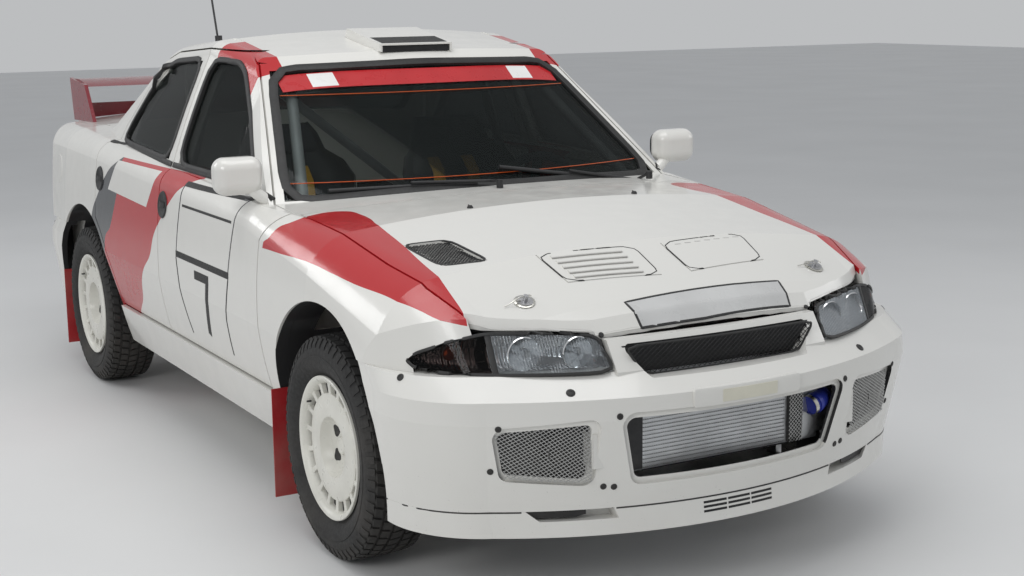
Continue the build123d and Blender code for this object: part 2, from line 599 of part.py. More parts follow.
# Rear wing on the boot lid
with BuildPart() as blade:
    with BuildSketch(Plane.YZ.offset(-628)):
        with BuildLine():
            ThreePointArc((1845, 1196), (1960, 1222), (2075, 1222))
            Line((2075, 1222), (2080, 1208))
            ThreePointArc((2080, 1208), (1960, 1196), (1845, 1196))
        make_face()
    extrude(amount=1256)
with BuildPart() as plate:
    with BuildSketch(Plane.YZ.offset(-640)):
        with BuildLine():
            Polyline((1700, 1000), (1850, 1205), (2098, 1228), (2050, 1000), (1700, 1000))
        make_face()
    extrude(amount=16)
wing = blade.part + both(plate.part)
wing += box(-630, 630, 2060, 2070, 1000, 1110)
wing -= body_loft(FIT * -1, FIT * -1, 0)
keep(wing, "rear_wing")

# Wheels
with BuildPart() as tyre:
    with BuildSketch(Plane.XZ):
        with BuildLine():
            bead, half, tread = RIM_WIDTH / 2 - 12, TYRE_WIDTH / 2, TREAD_WIDTH / 2
            Line((-bead, BEAD_RADIUS + FIT), (bead, BEAD_RADIUS + FIT))
            Line((bead, BEAD_RADIUS + FIT), (bead, RIM_RADIUS + 4))
            ThreePointArc((bead, RIM_RADIUS + 4), (half, 262), (half - 12, 306))
            Line((half - 12, 306), (tread, TYRE_RADIUS - 4))
            ThreePointArc((tread, TYRE_RADIUS - 4), (0, TYRE_RADIUS), (-tread, TYRE_RADIUS - 4))
            Line((-tread, TYRE_RADIUS - 4), (12 - half, 306))
            ThreePointArc((12 - half, 306), (-half, 262), (-bead, RIM_RADIUS + 4))
            Line((-bead, RIM_RADIUS + 4), (-bead, BEAD_RADIUS + FIT))
        make_face()
    revolve(axis=Axis.X)

DISH_X = 62.0
SPINDLE_R = 26.5
HUB_X = 34.0
with BuildPart() as rim:
    with BuildSketch(Plane.XZ):
        with BuildLine():
            edge, seat = RIM_WIDTH / 2, RIM_WIDTH / 2 - 11
            Polyline((-edge, RIM_RADIUS), (-edge + 8, RIM_RADIUS), (-seat, BEAD_RADIUS),
                     (-30, BEAD_RADIUS - 4), (-22, 172), (20, 172), (28, BEAD_RADIUS - 4), (seat, BEAD_RADIUS),
                     (edge - 8, RIM_RADIUS), (edge, RIM_RADIUS), (edge, 200), (edge - 8, 180), (DISH_X + 10, 166), (DISH_X + 6, 110),
                     (HUB_X + 12, 62), (HUB_X + 12, 28), (HUB_X, 28), (HUB_X, 66), (DISH_X - 4, 114),
                     (DISH_X, 160), (40, 164), (-30, 164), (-40, 178), (-edge, 184), (-edge, RIM_RADIUS))
        make_face()
    revolve(axis=Axis.X)
    with BuildSketch(Plane.YZ.offset(DISH_X - 12)):
        with PolarLocations(137, 20):
            SlotOverall(36, 15)
    extrude(amount=40, mode=Mode.SUBTRACT)
    with BuildSketch(Plane.YZ.offset(HUB_X - 10)):
        with PolarLocations(86, 4, start_angle=45):
            Circle(12)
    extrude(amount=60, mode=Mode.SUBTRACT)
with BuildPart() as disc:
    with BuildSketch(Plane.XZ):
        with BuildLine():
            Polyline((HUB_X - FIT, 27), (HUB_X - FIT, 80), (12, 84), (12, 138), (-10, 138), (-10, 74),
                     (20, 74), (20, 27), (HUB_X - FIT, 27))
        make_face()
    revolve(axis=Axis.X)

for side, side_name in ((-1, "right"), (1, "left")):
    for axle_y, track, end in ((FRONT_AXLE_Y, FRONT_TRACK, "front"), (REAR_AXLE_Y, REAR_TRACK, "rear")):
        place = Pos(side * track / 2, axle_y, TYRE_RADIUS) * Rot(0, 0, 0 if side > 0 else 180)
        keep(place * tyre.part, f"tyre_{end}_{side_name}")
        keep(place * (rim.part + disc.part), f"rim_{end}_{side_name}")

# Front knuckles with their struts; the wheel turns on the spindle
hub_x = FRONT_TRACK / 2
knuckle = across(SPINDLE_R, FRONT_AXLE_Y, TYRE_RADIUS, -hub_x - 20, -hub_x + 40)
knuckle += across(62, FRONT_AXLE_Y, TYRE_RADIUS, -hub_x + 20, -hub_x + 80)
knuckle += box(-hub_x + 70, -576, FRONT_AXLE_Y - 22, FRONT_AXLE_Y + 22, 330, 470)
knuckle += across(30, FRONT_AXLE_Y, 470, -606, -570)
knuckle += rod((-594, FRONT_AXLE_Y, 400), (-566, FRONT_AXLE_Y, 735), 24)
knuckle += rod((-580, FRONT_AXLE_Y, 570), (-567, FRONT_AXLE_Y, 725), 42)
knuckle += box(-710, -660, FRONT_AXLE_Y - 20, FRONT_AXLE_Y + 20, 226, 300)
knuckle += rod((-691.5, FRONT_AXLE_Y, 209), (-687, FRONT_AXLE_Y, 228), 9)
knuckle += box(-680, -655, FRONT_AXLE_Y, FRONT_AXLE_Y + 130, 290, 316)
knuckle += box(-hub_x - 26, -hub_x + 40, FRONT_AXLE_Y + 92, FRONT_AXLE_Y + 150, 300, 360) - across(
    143, FRONT_AXLE_Y, TYRE_RADIUS, -hub_x - 17, -hub_x + 15)
knuckle += box(-hub_x + 22, -hub_x + 40, FRONT_AXLE_Y + 30, FRONT_AXLE_Y + 110, 310, 345)
keep(knuckle, "knuckle_right")
keep(mirror(knuckle, about=Plane.YZ), "knuckle_left")

# Suspension arms
arms = Part()
for dy in (-170, 150):
    arms += rod((-FRONT_HOUSING_X + 8, FRONT_AXLE_Y + dy, 314), (-676, FRONT_AXLE_Y + dy * 0.1, 194), 15)
arms += box(-705, -665, FRONT_AXLE_Y - 26, FRONT_AXLE_Y + 26, 190, 206)
arms -= box(-FRONT_HOUSING_X - FIT, 0, -2000, 0, 0, 600)
keep(both(arms), "front_suspension")

rear_hub_x = REAR_TRACK / 2
carrier = across(SPINDLE_R, REAR_AXLE_Y, TYRE_RADIUS, -rear_hub_x - 20, -rear_hub_x + 60)
carrier += across(62, REAR_AXLE_Y, TYRE_RADIUS, -rear_hub_x + 20, -rear_hub_x + 80)
carrier += rod((-rear_hub_x + 60, REAR_AXLE_Y, 325), (-600, REAR_AXLE_Y, 470), 26)
carrier += rod((-600, REAR_AXLE_Y, 430), (-592, REAR_AXLE_Y, 746), 24)
for dy in (-160, 160):
    carrier += rod((-REAR_HOUSING_X - FIT, REAR_AXLE_Y + dy, 300), (-660, REAR_AXLE_Y + dy * 0.12, 300), 14)
carrier -= box(-REAR_HOUSING_X - FIT, 0, 500, 2000, 0, 600)
keep(both(carrier), "rear_suspension")

# Cabin fittings
CAGE_R = 19.0
hoop = [(-655, HOOP_Y, FLOOR_TOP_Z - 10), (-690, HOOP_Y, 860), (-556, HOOP_Y, 1300), (-480, HOOP_Y, 1380)]
front_leg = [(-480, HOOP_Y, 1380), (-462, -190, 1322), (-640, -730, 890), (-655, -790, FLOOR_TOP_Z - 10)]
stay = [(-480, HOOP_Y, 1380), (-600, 1050, 712)]
door_bars = ([(-690, HOOP_Y, 860), (-650, -768, 520)], [(-666, HOOP_Y, 480), (-643, -738, 820)])
cage = Part()
for path in (hoop, front_leg, stay, *door_bars):
    for start, end in zip(path, path[1:]):
        cage += rod(start, end, CAGE_R)
    for point in path[1:-1]:
        with BuildPart() as knee:
            with Locations(point):
                Sphere(CAGE_R + 1.5)
        cage += knee.part
cage = both(cage)
cage += rod((-480, HOOP_Y, 1380), (480, HOOP_Y, 1380), CAGE_R)
for x in (-480, 480):
    with BuildPart() as knee:
        with Locations((x, HOOP_Y, 1380)):
            Sphere(CAGE_R + 3)
    cage += knee.part
cage += rod((-462, -190, 1322), (462, -190, 1322), CAGE_R)
cage += rod((-480, HOOP_Y, 1380), (666, HOOP_Y, 480), CAGE_R)
cage -= both(across(housing_radius + FIT, REAR_AXLE_Y, ARCH_Z, -900, -500))
cage -= box(-900, 900, -900, 1300, 0, FLOOR_TOP_Z + FIT)
keep(cage, "roll_cage")

with BuildPart() as seat:
    with BuildSketch(Plane.YZ.offset(-SEAT_X - 235)):
        with BuildLine():
            Polyline((-330, 330), (-350, 470), (-200, 520), (20, 470), (80, 760), (200, 1130), (300, 1120),
                     (215, 700), (150, 330), (-330, 330))
        make_face()
    extrude(amount=470)
    with BuildSketch(Plane.YZ.offset(-SEAT_X - 200)):
        with BuildLine():
            Polyline((-400, 400), (-400, 600), (-300, 1200), (235, 1200), (120, 700), (85, 400),
                     (-400, 400))
        make_face()
    extrude(amount=400, mode=Mode.SUBTRACT)
seats = both(seat.part + box(-SEAT_X - 200, -SEAT_X - 170, -250, 100, FLOOR_TOP_Z + FIT, 335)
             + box(-SEAT_X + 170, -SEAT_X + 200, -250, 100, FLOOR_TOP_Z + FIT, 335))
keep(seats, "bucket_seats")

with BuildPart() as dash:
    with BuildSketch(Plane.YZ.offset(-600)):
        with BuildLine():
            Polyline((FIREWALL_Y + FIT, 700), (FIREWALL_Y + FIT, 905), (-700, 925), (-610, 900), (-600, 760),
                     (-700, 700), (FIREWALL_Y + FIT, 700))
        make_face()
    extrude(amount=1200)
dash_part = dash.part + rod((SEAT_X, -641.7, 792.8), (SEAT_X, -451.95, 856.0), 28)
dash_part += box(-130, 130, -640, -600, 600, 780)
keep(dash_part, "dashboard")

with BuildPart() as wheel:
    with Locations(Plane(origin=(SEAT_X, -440, 860), z_dir=(0, 180, 60))):
        Torus(170, 15)
        Cylinder(40, 24)
        Box(330, 34, 8)
        with Locations((0, -80, 0)):
            Box(30, 160, 8)
keep(wheel.part, "steering_wheel")

engine = box(-330, 330, -1820, -1180, 330, 640) + box(-200, 200, -1181, -910, 330, 560)
engine += box(-RAIL_X0 + FIT, RAIL_X0 - FIT, -1560, -1500, 420, 480)
keep(engine, "engine_block")

with BuildPart() as pipe:
    with BuildSketch(Plane.YZ):
        with BuildLine():
            Polyline((-800, 0), (1640, 0), (1640, 38), (1600, 38), (1560, 32), (-800, 32), (-800, 0))
        make_face()
    revolve(axis=Axis.Y)
with BuildPart() as tail_pipe:
    with BuildSketch(Plane.YZ):
        with BuildLine():
            Polyline((1640 + FIT, 0), (1640 + FIT, 38), (2130, 38), (2130, 33), (2000, 33), (2000, 0),
                     (1640 + FIT, 0))
        make_face()
    revolve(axis=Axis.Y)
keep(Pos(-150, 0, 252.7) * (pipe.part + tail_pipe.part), "exhaust")

with BuildPart() as guard:
    with BuildSketch(Plane.YZ.offset(-400)):
        with BuildLine():
            Polyline((-1970, 260), (-1600, 234), (-1000, 240), (-880, 276), (-840, 284 - FIT),
                     (-840, 274), (-870, 268), (-996, 232), (-1600, 226), (-1970, 252), (-1970, 260))
        make_face()
    extrude(amount=800)
keep(guard.part + both(box(-400, -380, -1800, -1760, 240, 400 - FIT)), "sump_guard")


def screen_point(x, along, off):
    """A point off above the windscreen's outer surface, along up the slope from its foot."""
    rake = atan2(SCREEN_HEAD[1] - SCREEN_FOOT[1], SCREEN_HEAD[0] - SCREEN_FOOT[0])
    drop = GLASS_SETBACK + SCREEN_BEND - sqrt(SCREEN_BEND**2 - x**2) - off
    return (x, SCREEN_FOOT[0] + along * cos(rake) + drop * sin(rake),
            SCREEN_FOOT[1] + along * sin(rake) - drop * cos(rake))


wipers = Part()
for pivot_x, pivot_y, pivot_z, tip_x in ((-30, -890, 974, -560), (560, -880, 962, 40)):
    wipers += rod((pivot_x, pivot_y, pivot_z), (pivot_x, pivot_y, pivot_z + 26), 11)
    elbow = screen_point(pivot_x, 40, 26)
    wipers += rod((pivot_x, pivot_y, pivot_z + 20), elbow, 5)
    wipers += rod(elbow, screen_point((pivot_x + tip_x) / 2, 84, 17), 5)
    wipers += rod(screen_point(pivot_x + (tip_x - pivot_x) * 0.08, 52, 12), screen_point(tip_x, 118, 12), 7)
wipers -= shell + screens
keep(wipers, "wipers")

aerial = rod((-420, 640, 1405), (-420, 760, 1760), 4) + rod((-420, 636, 1395), (-420, 640, 1440), 14)
keep(aerial - cabin_loft(-FIT, -FIT), "aerial")

with BuildPart() as glass_case:
    with Locations(MIRROR_PLACE):
        Box(156, 92, 118)
    fillet(glass_case.edges(), 38)
mirror_case = glass_case.part + rod((-800, -650, 1010), (-728, -668, 950), 19)
mirror_case -= side_outer + cabin_loft(-FIT, -FIT)
keep(mirror_case, "mirror_right")
keep(mirror(mirror_case, about=Plane.YZ), "mirror_left")
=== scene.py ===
import math

import bmesh
import bpy
from mathutils import Matrix, Vector
from mathutils.bvhtree import BVHTree


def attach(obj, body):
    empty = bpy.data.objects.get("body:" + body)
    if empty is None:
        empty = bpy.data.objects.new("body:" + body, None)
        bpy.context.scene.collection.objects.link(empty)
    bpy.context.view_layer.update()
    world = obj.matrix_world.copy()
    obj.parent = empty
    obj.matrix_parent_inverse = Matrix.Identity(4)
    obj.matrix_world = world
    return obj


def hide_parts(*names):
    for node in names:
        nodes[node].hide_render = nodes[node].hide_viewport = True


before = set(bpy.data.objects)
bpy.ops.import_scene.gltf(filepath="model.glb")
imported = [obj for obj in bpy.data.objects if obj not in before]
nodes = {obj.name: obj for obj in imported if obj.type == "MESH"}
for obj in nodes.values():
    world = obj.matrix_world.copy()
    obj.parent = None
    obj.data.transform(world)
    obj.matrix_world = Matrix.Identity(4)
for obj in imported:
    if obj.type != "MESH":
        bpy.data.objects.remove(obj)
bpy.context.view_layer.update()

# Camera at the photograph's viewing angle: metres, and the lens for a 36 mm wide picture
EYE = Vector((-2.4796, -5.2795, 1.5927))
AIM = Vector((0.5151, 0.0, 0.4466))
LENS = 55.06
ROLL = -0.0118

WHITE = (0.73, 0.72, 0.68, 1)
RED = (0.46, 0.012, 0.016, 1)
DARK_RED = (0.20, 0.012, 0.020, 1)
GRAPHITE = (0.055, 0.058, 0.062, 1)
BLACK = (0.012, 0.012, 0.013, 1)
DUST = (0.33, 0.29, 0.24, 1)

# The car in metres: nose towards -Y, its right side towards -X
SIDES = ((-1, "right"), (1, "left"))
TRACK = {"front": 0.7325, "rear": 0.735}
AXLE = {"front": -1.285, "rear": 1.225}
TYRE_R = 0.325
ARCH = 0.398
ARCH_Z = 0.350
HOUSING = (0.44, 0.836)
UNDERSIDE = 0.205
TREAD_PITCHES = 58
RIM_BRIDGES = 18
DOWN = (0, 0, -1)
REARWARD = (0, 1, 0)
FORWARD = (0, -1, 0)

# Where the rays start that find spots on the car
AHEAD = -2.6
BEHIND = 2.6
BESIDE = 1.3
OVER_BONNET = 1.4
OVER_ROOF = 1.8

# Outlines seen from the front as (x, z), and from the side as (y, z)
LAMP = ((0.346, 0.643), (0.361, 0.727), (0.480, 0.738), (0.620, 0.742), (0.705, 0.722), (0.768, 0.690),
        (0.786, 0.668), (0.776, 0.654), (0.730, 0.645), (0.655, 0.643))
WINDSCREEN = [(-0.700, 0.958), (-0.350, 0.972), (0.0, 0.977), (0.350, 0.972), (0.700, 0.958),
              (0.548, 1.340), (0.0, 1.352), (-0.548, 1.340)]
REAR_WINDOW = [(-0.640, 1.078), (0.0, 1.094), (0.640, 1.078), (0.530, 1.356), (0.0, 1.372), (-0.530, 1.356)]
WINDOWS = {
    "front": [(-0.552, 0.990), (0.150, 1.006), (0.158, 1.362), (-0.062, 1.358), (-0.132, 1.324)],
    "rear": [(0.262, 1.012), (0.935, 1.032), (0.905, 1.095), (0.712, 1.312), (0.600, 1.342), (0.262, 1.362)],
}
CHIN_TOP = 0.2895


def edges_of(outline):
    """Each corner of a closed outline with the next one."""
    return zip(outline, outline[1:] + outline[:1])


class Look:
    """One material, and a short way to lay out its nodes."""

    def __init__(self, name):
        self.material = bpy.data.materials.new(name)
        self.material.use_nodes = True
        self.tree = self.material.node_tree
        self.tree.nodes.clear()
        self.output = self.tree.nodes.new("ShaderNodeOutputMaterial")
        sources = self.node("ShaderNodeTexCoord").outputs
        self.place = sources["Object"]
        self.facing = sources["Normal"]

    def node(self, kind, inputs=None, **settings):
        made = self.tree.nodes.new(kind)
        for key, value in settings.items():
            setattr(made, key, value)
        for key, value in (inputs or {}).items():
            if isinstance(value, bpy.types.NodeSocket):
                self.tree.links.new(value, made.inputs[key])
            else:
                made.inputs[key].default_value = value
        return made

    def axes(self):
        apart = self.node("ShaderNodeSeparateXYZ", {0: self.place})
        return apart.outputs[0], apart.outputs[1], apart.outputs[2]

    def math(self, operation, a, b=0.0, c=0.0):
        return self.node("ShaderNodeMath", {0: a, 1: b, 2: c}, operation=operation).outputs[0]

    def times(self, a, b):
        return self.math("MULTIPLY", a, b)

    def above(self, value, low):
        return self.math("GREATER_THAN", value, low)

    def below(self, value, high):
        return self.math("LESS_THAN", value, high)

    def every(self, first, *others):
        """1 where all the masks are 1."""
        for other in others:
            first = self.times(first, other)
        return first

    def either(self, first, second):
        return self.math("MAXIMUM", first, second)

    def within(self, value, low, high):
        return self.every(self.above(value, low), self.below(value, high))

    def ramp(self, value, low, high, start=0.0, end=1.0):
        made = self.node("ShaderNodeMapRange", {0: value, 1: low, 2: high, 3: start, 4: end})
        return made.outputs[0]

    def line(self, value, points):
        """A smooth curve through the points (value, result)."""
        low, high = points[0][0], points[-1][0]
        results = [result for _, result in points]
        floor, ceiling = min(results), max(results)
        spread = max(ceiling - floor, 1e-6)
        made = self.node("ShaderNodeFloatCurve", {1: self.ramp(value, low, high)})
        curve = made.mapping.curves[0]
        placed = [((at - low) / (high - low), (result - floor) / spread) for at, result in points]
        curve.points[0].location = placed[0]
        curve.points[1].location = placed[-1]
        for at in placed[1:-1]:
            curve.points.new(*at)
        made.mapping.update()
        return self.ramp(made.outputs[0], 0.0, 1.0, floor, ceiling)

    def patch(self, u, v, corners):
        """1 inside a convex outline given anticlockwise as (u, v)."""
        masks = []
        for (u0, v0), (u1, v1) in edges_of(corners):
            across = self.math("MULTIPLY_ADD", u, v0 - v1, u0 * (v1 - v0) - v0 * (u1 - u0))
            masks.append(self.above(self.math("MULTIPLY_ADD", v, u1 - u0, across), 0.0))
        return self.every(*masks)

    def vector(self, operation, a, b):
        return self.node("ShaderNodeVectorMath", {0: a, 1: b}, operation=operation)

    def noise(self, scale, detail=3.0):
        inputs = {"Vector": self.place, "Scale": scale, "Detail": detail, "Roughness": 0.5}
        return self.node("ShaderNodeTexNoise", inputs).outputs[0]

    def mix(self, factor, a, b):
        return self.node("ShaderNodeMix", {0: factor, 6: a, 7: b}, data_type="RGBA").outputs[2]

    def bump(self, height, strength, distance):
        inputs = {"Height": height, "Strength": strength, "Distance": distance}
        return self.node("ShaderNodeBump", inputs).outputs[0]

    def gloss(self, **inputs):
        named = {key.replace("_", " "): value for key, value in inputs.items()}
        return self.node("ShaderNodeBsdfPrincipled", named).outputs[0]

    def finish(self, shader):
        self.tree.links.new(shader, self.output.inputs[0])
        return self.material

    def surface(self, **inputs):
        return self.finish(self.gloss(**inputs))

    def pane(self, tint, share, **inputs):
        """Tinted glass that light goes straight through, with a share of it mirrored."""
        through = self.node("ShaderNodeBsdfTransparent", {0: tint}).outputs[0]
        mirror = self.gloss(**inputs)
        return self.finish(self.node("ShaderNodeMixShader", {0: share, 1: through, 2: mirror}).outputs[0])


def dusty(look, colour, amount=0.25, low=0.15, high=0.75):
    """A colour with a film of pale dust that is thicker low down."""
    _, _, z = look.axes()
    film = look.every(look.ramp(z, high, low), look.ramp(look.noise(6.0, 5.0), 0.35, 0.75))
    return look.mix(look.times(film, amount), colour, DUST)


def paint(name, livery, shaded_parts=None):
    """Gloss paint with fine orange peel, faint chips low down, the stripes where asked, and painted shade:
    black under the car, inside the wheel arches and on the shaded parts given.
    """
    look = Look(name)
    x, y, z = look.axes()
    side = look.math("ABSOLUTE", x)
    shade = look.ramp(look.noise(3.0, 4.0), 0.3, 0.7, 0.0, 0.10)
    colour = look.mix(shade, WHITE, (0.68, 0.67, 0.63, 1))
    if livery:
        colour = stripes(look, colour, side, y, z)
    # Painted shade: black under the car, inside the wheel arches and on the shaded parts given
    dark = housing_shade(look, side, y, z)
    if shaded_parts:
        dark = look.either(dark, shaded_parts(look, side, y, z))
    chips = look.every(look.above(look.noise(240.0, 2.0), 0.73), look.below(z, 0.40))
    colour = look.mix(look.times(chips, 0.35), colour, (0.25, 0.24, 0.22, 1))
    colour = dusty(look, colour, 0.12, 0.12, 0.5)
    colour = look.mix(dark, colour, BLACK)
    rough = look.ramp(look.noise(14.0, 4.0), 0.3, 0.7, 0.16, 0.27)
    rough = look.either(rough, look.times(dark, 0.8))
    peel = look.bump(look.noise(420.0, 2.0), 0.035, 0.002)
    return look.surface(Base_Color=colour, Roughness=rough, Normal=peel, Coat_Weight=0.35,
                        Coat_Roughness=0.06)


def housing_shade(look, side, y, z):
    """Painted shade: black on the underside and on the inside of the wheel arches."""
    dark = look.below(z, UNDERSIDE)
    for axle in AXLE.values():
        off_y = look.math("SUBTRACT", y, axle)
        off_z = look.math("SUBTRACT", z, ARCH_Z)
        square = look.math("ADD", look.times(off_y, off_y), look.times(off_z, off_z))
        near = look.below(look.math("SQRT", square), ARCH + 0.002)
        dark = look.either(dark, look.every(near, look.within(side, *HOUSING)))
    return dark


def nose_opening_shade(look, side, y, z):
    """Painted shade: the panel and rails behind the openings of the nose, painted black."""
    return look.every(look.below(y, -1.80), look.below(z, 0.735), look.below(side, 0.80))


def inward_face_shade(look, side, y, z):
    """Painted shade: black on the faces that look inwards, the back of a moulded bumper."""
    away = look.vector("SUBTRACT", look.place, (0.0, 0.0, 0.45)).outputs[0]
    flat = look.vector("MULTIPLY", away, (1.0, 1.0, 0.0)).outputs[0]
    return look.below(look.vector("DOT_PRODUCT", look.facing, flat).outputs[1], -0.25)


def stripes(look, colour, side, y, z):
    """The stripes and patches of the sides, the fenders and the bonnet."""
    outer = look.above(side, 0.55)
    front = look.line(z, [(0.35, 0.62), (0.402, 0.57), (0.471, 0.478), (0.554, 0.428), (0.606, 0.374),
                          (0.66, 0.299), (0.744, 0.245), (0.816, 0.161), (0.884, 0.07),
                          (0.945, -0.036), (0.99, -0.15)])
    rear = look.line(z, [(0.35, 0.90), (0.634, 0.89), (0.703, 0.807), (0.816, 0.732), (0.85, 0.715),
                         (0.90, 0.70), (0.99, 0.70)])
    behind = look.line(z, [(0.35, 1.12), (0.718, 1.069), (0.813, 0.982), (0.916, 0.854),
                           (0.971, 0.737), (0.99, 0.70)])
    low = look.every(outer, look.below(z, 0.985))
    band = look.every(low, look.above(y, rear), look.below(y, behind))
    red = look.every(low, look.above(y, front), look.below(y, rear))
    colour = look.mix(band, colour, GRAPHITE)
    colour = look.mix(red, colour, RED)
    corners = [(0.341, 0.834), (0.838, 0.850), (0.737, 0.971), (0.238, 0.973)]
    colour = look.mix(look.every(outer, look.patch(y, z, corners)), colour, WHITE)
    colour = look.mix(fender_stripe(look, side, y, z), colour, RED)
    rail = look.every(look.above(z, 1.0), look.below(side, 0.72), look.within(y, -0.24, 0.13),
                      look.above(side, 0.50))
    colour = look.mix(rail, colour, RED)
    border = [(-0.545, 0.700), (-0.008, 0.700), (-0.045, 0.960), (-0.600, 0.960)]
    field = [(-0.537, 0.708), (-0.018, 0.708), (-0.054, 0.952), (-0.590, 0.952)]
    for corners, tone in ((border, BLACK), (field, WHITE)):
        colour = look.mix(look.every(outer, look.patch(y, z, corners)), colour, tone)
    return colour


def fender_stripe(look, side, y, z):
    """The red stripe that runs along the bonnet's edge and the top of the fender."""
    inner = look.line(y, [(-1.90, 0.665), (-1.838, 0.659), (-1.787, 0.651), (-1.705, 0.646),
                          (-1.536, 0.634), (-1.381, 0.617), (-1.188, 0.603), (-1.066, 0.584),
                          (-0.994, 0.584), (-0.953, 0.598), (-0.926, 0.646)])
    lower = look.line(y, [(-1.90, 0.742), (-1.838, 0.760), (-1.782, 0.776), (-1.612, 0.809),
                          (-1.448, 0.821), (-1.319, 0.834), (-1.166, 0.847), (-0.997, 0.845),
                          (-0.842, 0.842), (-0.80, 0.840)])
    end = look.line(side, [(0.58, -1.02), (0.598, -0.953), (0.646, -0.926), (0.710, -0.932),
                           (0.748, -0.939), (0.796, -0.897), (0.820, -0.874), (0.827, -0.842),
                           (0.86, -0.82)])
    return look.every(look.above(side, inner), look.above(z, lower), look.below(y, end),
                      look.above(y, -1.838))


def plain(name, colour, rough, metal=0.0, grain=60.0, relief=0.15, dust=0.25, **more):
    """A painted, moulded or bare surface with mottled colour, uneven gloss and a little relief."""
    look = Look(name)
    mottle = look.ramp(look.noise(grain * 0.2, 5.0), 0.3, 0.7, 0.0, 0.35)
    paler = tuple(min(1.0, channel * 1.5 + 0.012) for channel in colour[:3]) + (1,)
    shade = dusty(look, look.mix(mottle, colour, paler), dust)
    gloss = look.ramp(look.noise(grain, 4.0), 0.3, 0.7, max(0.02, rough - 0.08), min(1, rough + 0.1))
    normal = look.bump(look.noise(grain * 6, 3.0), relief, 0.001)
    return look.surface(Base_Color=shade, Roughness=gloss, Metallic=metal, Normal=normal, **more)


def clear(name, tint, strength):
    """Thin glass: light goes straight through, and the pane mirrors more at a low angle."""
    look = Look(name)
    smear = look.ramp(look.noise(5.0, 5.0), 0.3, 0.8, 0.015, 0.06)
    edge = look.node("ShaderNodeLayerWeight", {0: 0.22}).outputs[0]
    return look.pane(tint, look.ramp(edge, 0.0, 1.0, strength, 0.9), Base_Color=(0.01, 0.012, 0.012, 1),
                     Roughness=smear, Coat_Weight=0.5, Coat_Roughness=0.02)


def fluted_glass():
    """Clear lens glass whose upright flutes catch the light."""
    look = Look("fluted lamp glass")
    x, _, _ = look.axes()
    ribs = look.math("SINE", look.times(x, 900.0))
    patchy = look.ramp(look.noise(26.0), 0.42, 0.62)
    ridge = look.every(look.ramp(ribs, 0.2, 1.0), patchy)
    edge = look.node("ShaderNodeLayerWeight", {0: 0.25}).outputs[0]
    share = look.math("ADD", look.ramp(edge, 0.0, 1.0, 0.10, 0.85), look.times(ridge, 0.35))
    return look.pane((0.93, 0.95, 0.96, 1), share, Base_Color=(0.50, 0.52, 0.54, 1), Roughness=0.12,
                     Normal=look.bump(ribs, 0.5, 0.0015), Coat_Weight=0.6, Coat_Roughness=0.03)


def reflector():
    """Bright metal pressed into upright ribs."""
    look = Look("ribbed reflector")
    x, _, _ = look.axes()
    ribs = look.math("SINE", look.times(x, 520.0))
    normal = look.bump(look.math("ADD", ribs, look.noise(60.0)), 0.6, 0.002)
    shade = look.mix(look.ramp(look.noise(40.0), 0.35, 0.65), (0.60, 0.61, 0.62, 1), (0.78, 0.79, 0.80, 1))
    rough = look.ramp(look.noise(20.0), 0.3, 0.7, 0.08, 0.2)
    return look.surface(Base_Color=shade, Metallic=1.0, Roughness=rough, Normal=normal)


# Finishes of the CAD nodes
LIVERY = paint("gloss white paint with red stripes", True)
# SHELL carries painted shade behind the nose openings
SHELL = paint("gloss white shell paint with red stripes", True, nose_opening_shade)
# BUMPER carries painted shade on its inward faces
BUMPER = paint("gloss white bumper paint", False, inward_face_shade)
SHELL_PAINT = paint("gloss white paint", False)
WING_PAINT = plain("dark red gloss paint", DARK_RED, 0.22, grain=30, relief=0.03, dust=0.1,
                   Coat_Weight=0.5, Coat_Roughness=0.08)
GLASS = clear("window glass", (0.90, 0.93, 0.92, 1), 0.05)
LAMP_GLASS = clear("lamp glass", (0.93, 0.95, 0.95, 1), 0.12)
TAIL_LAMP = plain("red lamp plastic", (0.30, 0.008, 0.010, 1), 0.12, relief=0.02, dust=0.05)
WHEEL_PAINT = plain("white wheel enamel", (0.66, 0.65, 0.59, 1), 0.32, grain=40, relief=0.06, dust=0.15)
RUBBER = plain("tyre rubber", (0.011, 0.011, 0.011, 1), 0.72, grain=90, relief=0.5, dust=0.12)
# Black plastic parts, and the black of the painted shade behind the fog openings
PLASTIC_AND_SHADE = plain("black moulded plastic and painted shade", (0.016, 0.016, 0.017, 1), 0.52, grain=120, relief=0.35)
STEEL = plain("bare steel", (0.42, 0.42, 0.43, 1), 0.36, metal=1.0, grain=80, relief=0.2)
IRON = plain("dark cast iron", (0.06, 0.057, 0.055, 1), 0.6, metal=0.6, grain=80, relief=0.6)
ALUMINIUM = plain("dull aluminium", (0.50, 0.51, 0.52, 1), 0.38, metal=1.0, grain=70, relief=0.2)
CAGE = plain("grey cage paint", (0.20, 0.205, 0.21, 1), 0.4, grain=60, relief=0.08)
FABRIC = plain("black seat fabric", (0.018, 0.018, 0.02, 1), 0.9, grain=300, relief=0.8, dust=0.1)
FLAP = plain("red flap rubber", (0.36, 0.012, 0.016, 1), 0.55, grain=70, relief=0.2, dust=0.35)
BLOCK = plain("engine casting", (0.22, 0.22, 0.22, 1), 0.5, metal=0.8, grain=50, relief=0.6)

